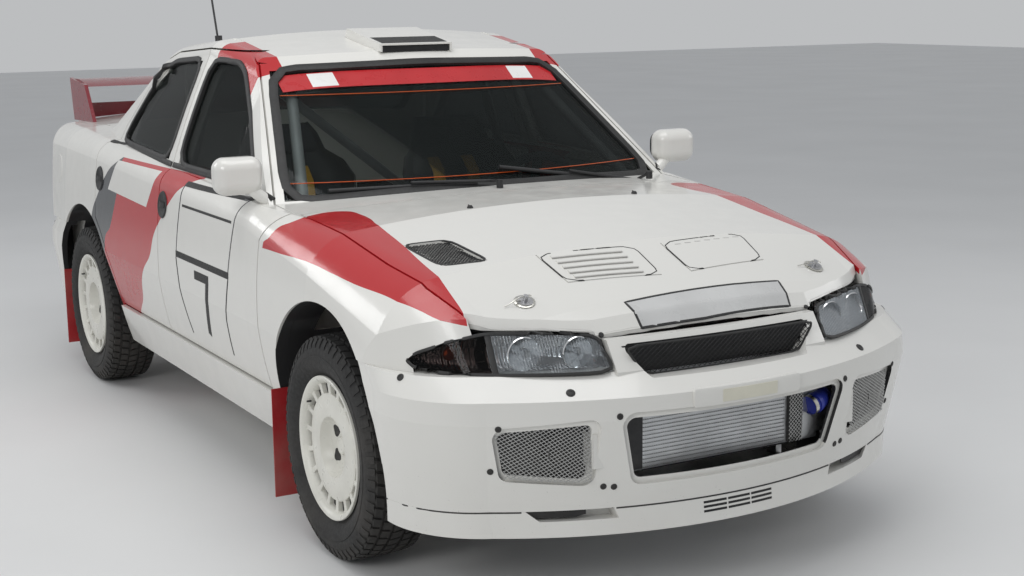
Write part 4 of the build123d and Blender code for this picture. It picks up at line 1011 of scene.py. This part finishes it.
def chin():
    """The slots of the chin spoiler as painted shade, in dark strips and dark panels behind its ends, and the
    seam along its top.
    """
    def at(x, z):
        return from_front("chin_spoiler", x, z)

    # Painted shade: dark strips for the slots, and dark panels set behind the spoiler's ends
    slots = Stock()
    for z in (0.274, 0.262, 0.250):
        for column in range(3):
            x = -0.112 + 0.0765 * column
            slots.trim(at, between((x, z), (x + 0.071, z), 5), 0.0062, 0.0009)
    for side, _ in SIDES:
        face = [at(x, z)[0] for x, z in between((side * 0.566, 0.256), (side * 0.426, 0.256), 6)]
        low = [Vector((spot.x, spot.y + 0.010, 0.2695 if 0 < k < 6 else 0.276))
               for k, spot in enumerate(face)]
        high = [Vector((spot.x, spot.y + 0.010, 0.2893)) for spot in reversed(face)]
        slots.slab(low + high, (0, 0.004, 0))
    slots.piece("chin_slot_shade", MESH_BLACK_AND_SHADE)
    seam = Stock()
    seam.trim(at, between((-0.830, CHIN_TOP - 0.0016), (0.830, CHIN_TOP - 0.0016), 80), 0.0042, 0.0008)
    seam.piece("chin_seam", SEAL)


def nose_bar(levels, count, depth):
    """A bar bowed with the front bumper; a level is z, half width and how far it stands out."""
    rings = []
    for z, half, proud in levels:
        row = [Vector((x, nose_y(x) - proud, z)) for (x,) in between((-half,), (half,), count)]
        rings.append(backed(row, depth))
    bar = Stock()
    bar.rings(rings)
    return bar


def front_plate():
    """The blank plate on its bracket."""
    bracket = nose_bar(((0.546, 0.168, 0.0014), (0.553, 0.172, 0.0038), (0.588, 0.172, 0.0038),
                        (0.594, 0.168, 0.0014)), 12, 0.022)
    bracket.piece("plate_bracket", SHELL_PAINT, "body", 30)
    plate = nose_bar(((0.5535, 0.088, 0.0055), (0.5865, 0.088, 0.0055)), 8, 0.004)
    plate.piece("blank_plate_front", PLATE, "body", 30)


def bonnet_vent():
    """The meshed vent on the bonnet's right."""
    outline = [(-0.616, -1.388), (-0.601, -1.583), (-0.478, -1.619), (-0.495, -1.420)]
    mesh = Stock()
    crossed(mesh, anticlockwise(outline), 0.0085, (45, -45), 0.0013,
            lambda x, y: from_above("bonnet_vents", x, y)[0] + Vector((0, 0, 0.0045)))
    mesh.piece("vent_mesh", MESH_BLACK_AND_SHADE, "bonnet")
    edge = Stock()
    around = shrunk(paced(eased(outline), 0.02), 1.05)
    edge.trim(lambda x, y: from_above("bonnet", x, y), around, 0.007, 0.0015, loop=True)
    edge.piece("vent_edge", SEAL, "bonnet")


def louvre_panels():
    """The let-in panels: raised louvres on the right one with painted shade at their feet, a row of short
    slots in painted shade on the left one.
    """
    panel = [(-0.348, -1.652), (-0.046, -1.679), (-0.049, -1.825), (-0.329, -1.791)]

    def row(share):
        """The ends of a row at a share of the panel's length."""
        return (-0.338 + 0.020 * share, -1.652 - 0.139 * share), (-0.078, -1.676 - 0.146 * share)

    for side, hand in SIDES:
        def at(x, y):
            return from_above("bonnet_vents", -side * x, y)

        outline = Stock()
        outline.trim(at, paced(eased(shrunk(panel, 0.985)), 0.012), 0.0034, 0.0007, loop=True)
        outline.piece(f"louvre_outline_{hand}", SEAL, "bonnet")
        slots = Stock()
        if side < 0:
            blades = Stock()
            for share in (0.16, 0.34, 0.52, 0.70, 0.86):
                line = [at(x, y) for x, y in between(*row(share), 12)[1:-1]]
                blades.strip(line, 0.013, 0.0042)
                # Painted shade: a grey strip at each blade's foot
                foot = [(spot + Vector((0, -0.0078, 0)), normal) for spot, normal in line]
                slots.strip(foot, 0.0034, 0.0010)
            blades.piece(f"louvre_blades_{hand}", SHELL_PAINT, "bonnet", 40)
        else:
            (xa, ya), (xb, yb) = row(0.14)
            # Painted shade: the short slots in grey
            for k in range(7):
                start = (k + 0.2) / 7
                y = ya + (yb - ya) * start
                slots.trim(at, [(xa + (xb - xa) * (start + reach), y) for reach in (0, 0.08)], 0.0032, 0.0006)
        slots.piece(f"louvre_slots_{hand}", LOUVRE_SHADE, "bonnet")


def bonnet_clips():
    """A wire clip with its washer over each bonnet pin."""
    for side, hand in SIDES:
        spot, normal = from_above("bonnet", side * 0.484, -1.825)
        across = normal.cross(Vector(REARWARD)).normalized()
        top = spot + normal * 0.016
        clip = Stock()
        # Wires as places across and up from the pin's head
        loop = ((-0.020, 0), (-0.012, 0.004), (0.014, 0.004), (0.026, 0), (0.026, -0.006), (0.012, -0.006))
        tongue = ((0.026, 0), (0.045, -0.010), (0.060, -0.013))
        for wire, radius in ((loop, 0.0018), (tongue, 0.0012)):
            clip.tube([top + across * u + normal * v for u, v in wire], radius)
        washer = [(-0.016, 0.0225), (-0.0135, 0.0285), (-0.0125, 0.0285), (-0.011, 0.0225)]
        clip.turned(washer, top, normal, 28)
        clip.piece(f"bonnet_clip_{hand}", NUT, "bonnet", 40)


def bonnet_plate():
    """The blank plate panel painted on the bonnet's front with its black border."""
    def at(x, y):
        return from_above("bonnet", x, y)

    corners = [(-0.227, -1.910), (0.296, -1.896), (0.282, -1.967), (-0.215, -1.985)]
    rights = between(corners[0], corners[3], 12)
    lefts = between(corners[1], corners[2], 12)
    field = Stock()
    field.layer([[at(x, y) for x, y in between(a, b, 48)] for a, b in zip(rights, lefts)], 0.0008)
    field.piece("bonnet_plate_field", PALE, "bonnet")
    border = Stock()
    border.trim(at, paced(corners, 0.008), 0.0075, 0.0012, loop=True)
    border.piece("bonnet_plate_border", SEAL, "bonnet")


def bonnet_lip():
    """The turned-down lip under the bonnet's front edge, ending just above the nose and the lamps."""
    rings = []
    for (x,) in between((-0.690,), (0.690,), 60):
        tries = (cast("bonnet", (x, AHEAD, 0.680 + 0.0025 * n), REARWARD) for n in range(60))
        found = next((hit for hit in tries if hit), None)
        if not found:
            continue
        edge = found[0]
        below = [cast(name, edge + Vector((0, 0.004, 0.004)), DOWN)
                 for name in ("body_shell", "headlamps", "front_bumper", "front_fenders")]
        drops = [edge.z - hit[0].z for hit in below if hit]
        drop = max(min(drops + [0.016]) - 0.0025, 0.002)
        section = ((0.0012, 0.003), (0.0010, 0.001 - drop), (0.0022, -drop), (0.0060, -drop), (0.0070, 0.003))
        rings.append([edge + Vector((0, back, rise)) for back, rise in section])
    lip = Stock()
    lip.rings(rings)
    lip.piece("bonnet_lip", SHELL_PAINT, "bonnet", 30)


def screen_rubbers():
    """Rubbers round the windscreen and the rear window."""
    for name, outline, y, way in (("windscreen_rubber", WINDSCREEN, -1.9, REARWARD),
                                  ("rear_window_rubber", REAR_WINDOW, 2.4, FORWARD)):
        rubber = Stock()
        seal(rubber, "screens", "body_shell", shrunk(outline, 0.97), lambda x, z: ((x, y, z), way),
             0.012, 0.032, 0.0055)
        rubber.piece(name, SEAL, "body", 40)


def door_rubbers():
    """Rubbers round the side windows, and the strips along the doors' top edge."""
    belts = {"front": ((-0.700, 0.975), (0.190, 0.999)), "rear": ((0.206, 0.999), (1.000, 1.023))}
    for end, belt_ends in belts.items():
        for side, hand in SIDES:
            door = f"door_{end}_{hand}"
            rubber = Stock()
            seal(rubber, f"glass_{end}_{hand}", door, shrunk(WINDOWS[end], 0.975),
                 lambda y, z: ((side * BESIDE, y, z), (-side, 0, 0)), 0.010, 0.020, 0.004)
            rubber.piece(f"window_rubber_{end}_{hand}", SEAL, door, 40)
            belt = Stock()
            belt.trim(lambda y, z: from_side(door, side, y, z), between(*belt_ends, 24), 0.020, 0.004)
            belt.piece(f"belt_strip_{end}_{hand}", SEAL, door, 40)


def banner():
    """The blank banner across the windscreen's top with its two white blocks, and the aerial lines."""
    def below_edge(x, drop):
        """The spot a drop below the windscreen's top edge."""
        return on_screen(x, 1.338 - 0.0156 * (x / 0.545) ** 4 - drop)

    film = Stock()
    film.spread(below_edge, -0.535, 0.535, (0.003, 0.0275, 0.052), 30, 0.0006)
    film.piece("screen_banner", BANNER)
    blocks = Stock()
    for x in (-0.430, 0.340):
        blocks.spread(below_edge, x, x + 0.090, (0.006, 0.0265, 0.047), 4, 0.0011)
    blocks.piece("banner_blocks", FILM)
    lines = Stock()
    for half, z in ((0.55, 1.262), (0.66, 1.006)):
        lines.trim(on_screen, between((-half, z), (half, z), 30), 0.0022, 0.0006)
    lines.piece("screen_lines", ORANGE, slot="accent_paint")


def handles():
    """Round black handle dishes with their levers."""
    rear = Vector(REARWARD)
    for side, hand in SIDES:
        for end, y, z in (("front", 0.150, 0.864), ("rear", 0.955, 0.881)):
            door = f"door_{end}_{hand}"
            spot, normal = from_side(door, side, y, z)
            dish = Stock()
            dish.domed([(0.0005, 0.049), (0.0045, 0.046), (0.0050, 0.041), (0.0012, 0.034), (0.0008, 0.0)],
                       spot, normal, 40)
            dish.piece(f"handle_dish_{end}_{hand}", PLASTIC_AND_SHADE, door, 40)
            up = normal.cross(rear).normalized()
            rings = []
            for k in range(7):
                along = -0.030 + 0.010 * k
                bow = 0.0045 + 0.005 * math.cos(along / 0.030 * math.pi / 2)
                section = ((-0.011, 0.002), (-0.009, bow), (0.009, bow), (0.011, 0.002))
                rings.append([spot + rear * along + up * u + normal * v for u, v in section])
            lever = Stock()
            lever.rings(rings)
            lever.piece(f"handle_lever_{end}_{hand}", SEAL, door, 50)


def number_panels():
    """The plain figure 7 and the bars of each front door's number panel."""
    top = ((-0.352, 0.666), (-0.208, 0.666))
    legs = {"right": ((-0.338, 0.660), (-0.322, 0.575), (-0.290, 0.470)),
            "left": ((-0.222, 0.660), (-0.238, 0.575), (-0.270, 0.470))}
    bars = (((-0.555, 0.885), (-0.065, 0.885)), ((-0.545, 0.700), (-0.505, 0.560)),
            ((-0.505, 0.560), (-0.500, 0.440)), ((-0.012, 0.700), (-0.050, 0.560)),
            ((-0.050, 0.560), (-0.090, 0.440)))
    edges = (((-0.600, 0.957), (-0.050, 0.957)), ((-0.550, 0.712), (-0.010, 0.712)))
    for side, hand in SIDES:
        door = f"door_front_{hand}"
        seven = (top, legs[hand][:2], legs[hand][1:])
        figure = Stock()
        for strokes, wide, count in ((seven, 0.030, 8), (bars, 0.009, 8), (edges, 0.022, 10)):
            for start, end in strokes:
                line = between(start, end, count)
                figure.trim(lambda y, z: from_side(door, side, y, z), line, wide, 0.0007)
        figure.piece(f"door_number_{hand}", SEAL, door)


def mirrors():
    """Mirror glass in a dark rim."""
    outline = []
    for k in range(40):
        u, v = math.cos(math.tau * k / 40), math.sin(math.tau * k / 40)
        outline.append((math.copysign(abs(u) ** 0.55, u) * 0.060, math.copysign(abs(v) ** 0.55, v) * 0.043))
    for side, hand in SIDES:
        centre = Vector((side * 0.826, -0.594, 1.042))
        glass, rim = Stock(), Stock()
        glass.slab([centre + Vector((u, 0.0005, v)) for u, v in outline], (0, -0.004, 0))
        glass.piece(f"mirror_glass_{hand}", CHROME, f"door_front_{hand}", 30)
        rim.tube([centre + Vector((u * 1.04, 0.0005, v * 1.04)) for u, v in outline], 0.0032, loop=True)
        rim.piece(f"mirror_rim_{hand}", SEAL, f"door_front_{hand}")


def roof_details():
    """The roof vent's mouth as painted shade in black, its blank bar, and the cover strips of the roof's
    seams.
    """
    # Painted shade: a black sheet in the vent's mouth
    mouth = Stock()
    mouth.slab([(-0.131, -0.240, 1.392), (0.131, -0.240, 1.392), (0.131, -0.240, 1.412),
                (-0.131, -0.240, 1.412)], (0, 0.004, 0))
    mouth.piece("vent_mouth_shade", MESH_BLACK_AND_SHADE)
    bar = Stock()
    bar.spread(lambda x, y: from_above("roof_vent", x, y, OVER_ROOF), -0.128, 0.128,
               (-0.232, -0.182, -0.132), 8, 0.0006)
    bar.piece("vent_bar", SEAL)
    for side, hand in SIDES:
        seam = Stock()
        line = [(side * (0.505 + 0.030 * math.sin(math.pi * k / 30)), 0.15 + 0.75 * k / 30)
                for k in range(31)]
        seam.trim(lambda x, y: from_above("body_shell", x, y, OVER_ROOF), line, 0.012, 0.0025)
        seam.piece(f"roof_seam_{hand}", SHELL_PAINT, "body", 40)


def tail():
    """The tail: lamp gaskets, the blank plate in its frame, and a fuel flap."""
    outline = [(0.682, 0.745), (0.812, 0.750), (0.800, 0.895), (0.682, 0.905)]
    for side, hand in SIDES:
        def at(x, z):
            return from_rear("tail_lamps", side * x, z)

        gasket = Stock()
        gasket.trim(at, paced(eased(outline), 0.012), 0.009, 0.003, loop=True, sink=0.005)
        for z in (0.797, 0.852):
            gasket.trim(at, between((0.688, z), (0.800, z), 10), 0.005, 0.0015)
        gasket.piece(f"tail_lamp_gasket_{hand}", SEAL, "body", 40)

    def on_bumper(x, z):
        return from_rear("rear_bumper", x, z)

    plate = Stock()
    plate.spread(on_bumper, -0.260, 0.260, (0.455, 0.500, 0.545), 12, 0.003)
    plate.piece("blank_plate_rear", PLATE)
    edge = Stock()
    around = paced([(-0.262, 0.453), (0.262, 0.453), (0.262, 0.547), (-0.262, 0.547)], 0.03)
    edge.trim(on_bumper, around, 0.007, 0.0045, loop=True)
    edge.piece("plate_frame_rear", SEAL)
    flap = Stock()
    spot, normal = from_side("body_shell", -1, 1.640, 0.860)
    flap.domed([(-0.001, 0.0), (-0.001, 0.062), (0.0012, 0.061), (0.0018, 0.0)], spot, normal, 44)
    flap.piece("fuel_flap", SHELL_PAINT, "body", 30)


def seat_stations(side):
    """The seat's base spots from the front of the cushion to the head, with the way up and the sizes."""
    # Columns: y, z, half width and height of the side wings
    path = ((-0.335, 0.455, 0.215, 0.030), (-0.290, 0.475, 0.225, 0.070), (-0.180, 0.462, 0.230, 0.100),
            (-0.060, 0.442, 0.232, 0.112), (0.030, 0.440, 0.232, 0.118), (0.085, 0.490, 0.230, 0.120),
            (0.112, 0.590, 0.225, 0.115), (0.135, 0.700, 0.220, 0.105), (0.158, 0.810, 0.225, 0.115),
            (0.180, 0.900, 0.228, 0.125), (0.200, 0.960, 0.205, 0.100), (0.215, 1.010, 0.155, 0.060),
            (0.235, 1.070, 0.140, 0.048), (0.252, 1.115, 0.118, 0.030))
    spine = [Vector((0, y, z)) for y, z, _, _ in path]
    stations = []
    for i, (y, z, half, wing) in enumerate(path):
        ahead = (spine[min(i + 1, len(spine) - 1)] - spine[max(i - 1, 0)]).normalized()
        up = Vector((0, -ahead.z, ahead.y))
        if up.z < 0 and i < 4:
            up = -up
        stations.append((Vector((side * 0.350, y, z)), up, half, wing))
    return stations


def seat_shell(stations, hand):
    rows = []
    for base, up, half, wing in stations:
        section = [(-half, wing), (-half * 0.97, wing * 0.55), (-half * 0.84, wing * 0.12),
                   (-half * 0.5, 0.0), (0.0, -0.004), (half * 0.5, 0.0), (half * 0.84, wing * 0.12),
                   (half * 0.97, wing * 0.55), (half, wing)]
        inside = [base + Vector((u, 0, 0)) + up * v for u, v in section]
        outside = [base + Vector((u * 1.05 + math.copysign(0.004, u), 0, 0)) + up * (v - 0.020)
                   for u, v in reversed(section)]
        rows.append(inside + outside)
    shell = Stock()
    shell.rings(rows)
    shell.piece(f"seat_shell_{hand}", PLASTIC_AND_SHADE, "body", 60, slot="seat_shell", replaces=("bucket_seats",))


def seat_pad(stations, part, hand, first, last):
    """A crowned pad between two stations, with cross seams and two sewn channels along it."""
    rings = []
    steps = 4 * (last - first)
    for n in range(steps + 1):
        place = first + n / 4
        i = min(int(place), last - 1)
        t = place - i
        (base0, up0, half0, wing0), (base1, up1, half1, wing1) = stations[i], stations[i + 1]
        base, up = base0.lerp(base1, t), up0.lerp(up1, t).normalized()
        half, wing = half0 + (half1 - half0) * t, wing0 + (wing1 - wing0) * t
        inner = 0 < n < steps
        end = math.sin(math.pi * n / steps) ** 0.35 if inner else 0.30
        seam = 0.72 if n % 4 == 0 and inner else 1.0

        def floor(u):
            """How high the shell lies at a share of the half width."""
            if abs(u) > 0.84:
                return wing * (0.12 + 0.43 * (abs(u) - 0.84) / 0.13)
            return wing * 0.12 * max(0.0, (abs(u) - 0.5) / 0.34)

        face = []
        for k in range(17):
            u = -0.90 + 1.80 * k / 16
            channel = 0.65 if k in (4, 12) else 1.0
            rise = 0.030 * end * seam * channel * (1 - abs(u) ** 6 * 0.7)
            face.append(base + Vector((u * half, 0, 0)) + up * (floor(u) + 0.003 + rise))
        for u in (0.88, 0.5, 0.0, -0.5, -0.88):
            under = wing * 0.12 * max(0.0, (abs(u) - 0.5) / 0.34) + 0.001
            face.append(base + Vector((u * half * 0.95, 0, 0)) + up * under)
        rings.append(face)
    pad = Stock()
    pad.rings(rings)
    made = pad.piece(f"seat_{part}_{hand}", PAD, "body", 70, replaces=("bucket_seats",))


def harness(stations, hand):
    """Shoulder and lap straps, and the buckle."""
    straps = Stock()
    for x in (-0.075, 0.075):
        line = []
        for i in (10, 9, 8, 7, 6, 5):
            base, up, _, _ = stations[i]
            lift = 0.040 if i < 10 else 0.006
            line.append((base + Vector((x * (1 if i > 6 else 0.8), 0, 0)) + up * lift, up))
        behind = line[0][0] + Vector((0, 0.060, -0.006))
        straps.strip([(behind, Vector((0, -0.3, 1)).normalized())] + line, 0.050, 0.0025)
    base, up, _, _ = stations[4]
    for way in (-1, 1):
        lap = ((0.19, -0.02, 0.075), (0.13, -0.04, 0.052), (0.05, -0.05, 0.048))
        straps.strip([(base + Vector((way * x, y, 0)) + up * lift, up) for x, y, lift in lap], 0.050, 0.0025)
    straps.piece(f"harness_{hand}", WEBBING, "body", 40)
    buckle = Stock()
    buckle.domed([(-0.004, 0.0), (-0.004, 0.032), (0.008, 0.030), (0.012, 0.022), (0.012, 0.0)],
                 base + Vector((0, -0.055, 0)) + up * 0.052, up, 28)
    buckle.piece(f"harness_buckle_{hand}", NUT, "body", 30)


def seats():
    """Bucket seats: moulded shells, sewn pads and harness straps."""
    for side, hand in SIDES:
        stations = seat_stations(side)
        seat_shell(stations, hand)
        for part, first, last in (("cushion", 1, 4), ("back", 5, 9), ("head", 11, 13)):
            seat_pad(stations, part, hand, first, last)
        harness(stations, hand)


def dash_dials():
    """Five dials on the dash, three of them with marks and a hand."""
    dials, faces = Stock(), Stock()
    for x, z, radius in ((0.270, 0.862, 0.040), (0.350, 0.866, 0.052), (0.430, 0.862, 0.040),
                         (0.00, 0.842, 0.032), (-0.085, 0.842, 0.032)):
        spot, normal = onto("dashboard", (x, -0.2, z), FORWARD)
        dials.domed([(-0.002, radius + 0.004), (0.010, radius + 0.004), (0.010, radius),
                     (0.002, radius * 0.96), (0.002, 0.0)], spot, normal, 36)
        if radius < 0.035:
            continue
        face = radius - 0.002
        side = normal.cross(Vector((0, 0, 1))).normalized()
        up = side.cross(normal)
        for k in range(11):
            turn = math.radians(-130 + 26 * k)
            way = side * math.sin(turn) + up * math.cos(turn)
            faces.tube([spot + normal * 0.0030 + way * face * share for share in (0.72, 0.92)], 0.0009, 4)
        root = spot + normal * 0.0038
        faces.tube([root, root + (side * 0.5 + up * 0.6) * face], 0.001, 4)
    dials.piece("dash_dials", PLASTIC_AND_SHADE, "body", 40)
    faces.piece("dial_marks", FILM, slot="black_plastic")


def trip_meter():
    """The co-driver's trip meter and its dark display."""
    outline = ((-0.44, 0.835), (-0.26, 0.835), (-0.255, 0.84), (-0.255, 0.915), (-0.26, 0.92), (-0.44, 0.92),
               (-0.445, 0.915), (-0.445, 0.84))
    case = Stock()
    case.rings([[(x, y, z) for x, z in outline] for y in (-0.66, -0.575)])
    case.piece("trip_meter", PLASTIC_AND_SHADE, "body", 30)
    display = Stock()
    display.slab([(x, -0.5755, z) for x, z in ((-0.425, 0.862), (-0.275, 0.862), (-0.275, 0.905),
                                               (-0.425, 0.905))], (0, 0.002, 0))
    display.piece("trip_display", MESH_BLACK_AND_SHADE)


def gear_lever():
    """The gear lever, and the tunnel of the floor that it stands on."""
    lever = Stock()
    lever.tube([(0.05, -0.30, 0.31), (0.05, -0.31, 0.50), (0.055, -0.33, 0.62)], 0.008, 10)
    lever.domed([(-0.022, 0.006), (-0.018, 0.018), (0.0, 0.022), (0.018, 0.018), (0.024, 0.0)],
                (0.055, -0.33, 0.63), (0, 0, 1), 20)
    lever.piece("gear_lever", ALUMINIUM, "body", 40)
    outline = ((-0.13, 0.304), (-0.12, 0.36), (-0.09, 0.40), (0.09, 0.40), (0.12, 0.36), (0.13, 0.304))
    tunnel = Stock()
    tunnel.rings([[(x, y, z) for x, z in outline] for y in (-0.84, -0.50, 0.0, 0.60, 1.10)])
    tunnel.piece("floor_tunnel", SHELL_PAINT, "body", 30)


def pale_floor():
    half = 30.0
    mesh = bpy.data.meshes.new("floor")
    mesh.from_pydata([(-half, -half, 0), (half, -half, 0), (half, half, 0), (-half, half, 0)], [],
                     [(0, 1, 2, 3)])
    floor = bpy.data.objects.new("floor", mesh)
    bpy.context.scene.collection.objects.link(floor)
    look = Look("pale floor")
    tone = look.mix(look.ramp(look.noise(0.8, 5.0), 0.3, 0.7), (0.72, 0.72, 0.71, 1), (0.76, 0.76, 0.75, 1))
    mesh.materials.append(look.surface(Base_Color=tone, Roughness=0.6))


def backdrop():
    """A pale backdrop for what is seen or mirrored, and a softer one that lights the car."""
    world = bpy.data.worlds.new("studio")
    bpy.context.scene.world = world
    world.use_nodes = True
    tree = world.node_tree
    tree.nodes.clear()
    out = tree.nodes.new("ShaderNodeOutputWorld")
    mix = tree.nodes.new("ShaderNodeMixShader")
    for place, colour, strength in ((1, (0.92, 0.95, 1.0, 1), 0.46), (2, (0.56, 0.57, 0.58, 1), 0.9)):
        shade = tree.nodes.new("ShaderNodeBackground")
        shade.inputs[0].default_value = colour
        shade.inputs[1].default_value = strength
        tree.links.new(shade.outputs[0], mix.inputs[place])
    path = tree.nodes.new("ShaderNodeLightPath")
    shows = path.outputs["Is Camera Ray"]
    for ray in ("Is Glossy Ray", "Is Transmission Ray"):
        either = tree.nodes.new("ShaderNodeMath")
        either.operation = "MAXIMUM"
        tree.links.new(shows, either.inputs[0])
        tree.links.new(path.outputs[ray], either.inputs[1])
        shows = either.outputs[0]
    tree.links.new(shows, mix.inputs[0])
    tree.links.new(mix.outputs[0], out.inputs[0])


def soft_lamps():
    # Columns: name, place, aim, width, height and watts
    lamps = (
        ("overhead", (-0.6, -1.2, 4.6), (0.0, -0.4, 0.6), 4.2, 2.4, 82.0),
        ("key", (-5.2, -4.4, 3.6), (0.0, -0.6, 0.5), 2.6, 2.0, 98.0),
        ("fill", (5.4, -3.0, 2.8), (0.0, -0.4, 0.6), 3.0, 2.0, 40.0),
        ("back", (-4.4, 4.6, 3.4), (0.0, 0.6, 0.8), 3.0, 2.0, 60.0),
    )
    for name, at, toward, wide, tall, power in lamps:
        data = bpy.data.lights.new(name, "AREA")
        data.shape = "RECTANGLE"
        data.size = wide
        data.size_y = tall
        data.energy = power
        lamp = bpy.data.objects.new(name, data)
        lamp.location = at
        lamp.rotation_euler = (Vector(toward) - Vector(at)).to_track_quat("-Z", "Y").to_euler()
        bpy.context.scene.collection.objects.link(lamp)


def photo_camera():
    ahead = (AIM - EYE).normalized()
    right = ahead.cross(Vector((0, 0, 1))).normalized()
    up = right.cross(ahead)
    across = right * math.cos(ROLL) + up * math.sin(ROLL)
    upright = up * math.cos(ROLL) - right * math.sin(ROLL)
    data = bpy.data.cameras.new("camera")
    data.lens = LENS
    data.sensor_width = 36.0
    camera = bpy.data.objects.new("camera", data)
    camera.matrix_world = Matrix.Translation(EYE) @ Matrix((across, upright, -ahead)).transposed().to_4x4()
    bpy.context.scene.collection.objects.link(camera)
    bpy.context.scene.camera = camera


wheels()
head_lamps()
grille()
intercooler()
intercooler_hose()
fog_openings()
bumper_fixings()
bonnet_fixings()
chin()
front_plate()
bonnet_vent()
louvre_panels()
bonnet_clips()
bonnet_plate()
bonnet_lip()
screen_rubbers()
door_rubbers()
banner()
handles()
number_panels()
mirrors()
roof_details()
tail()
seats()
dash_dials()
trip_meter()
gear_lever()

pale_floor()
backdrop()
soft_lamps()
photo_camera()
bpy.context.scene.view_settings.view_transform = "Standard"
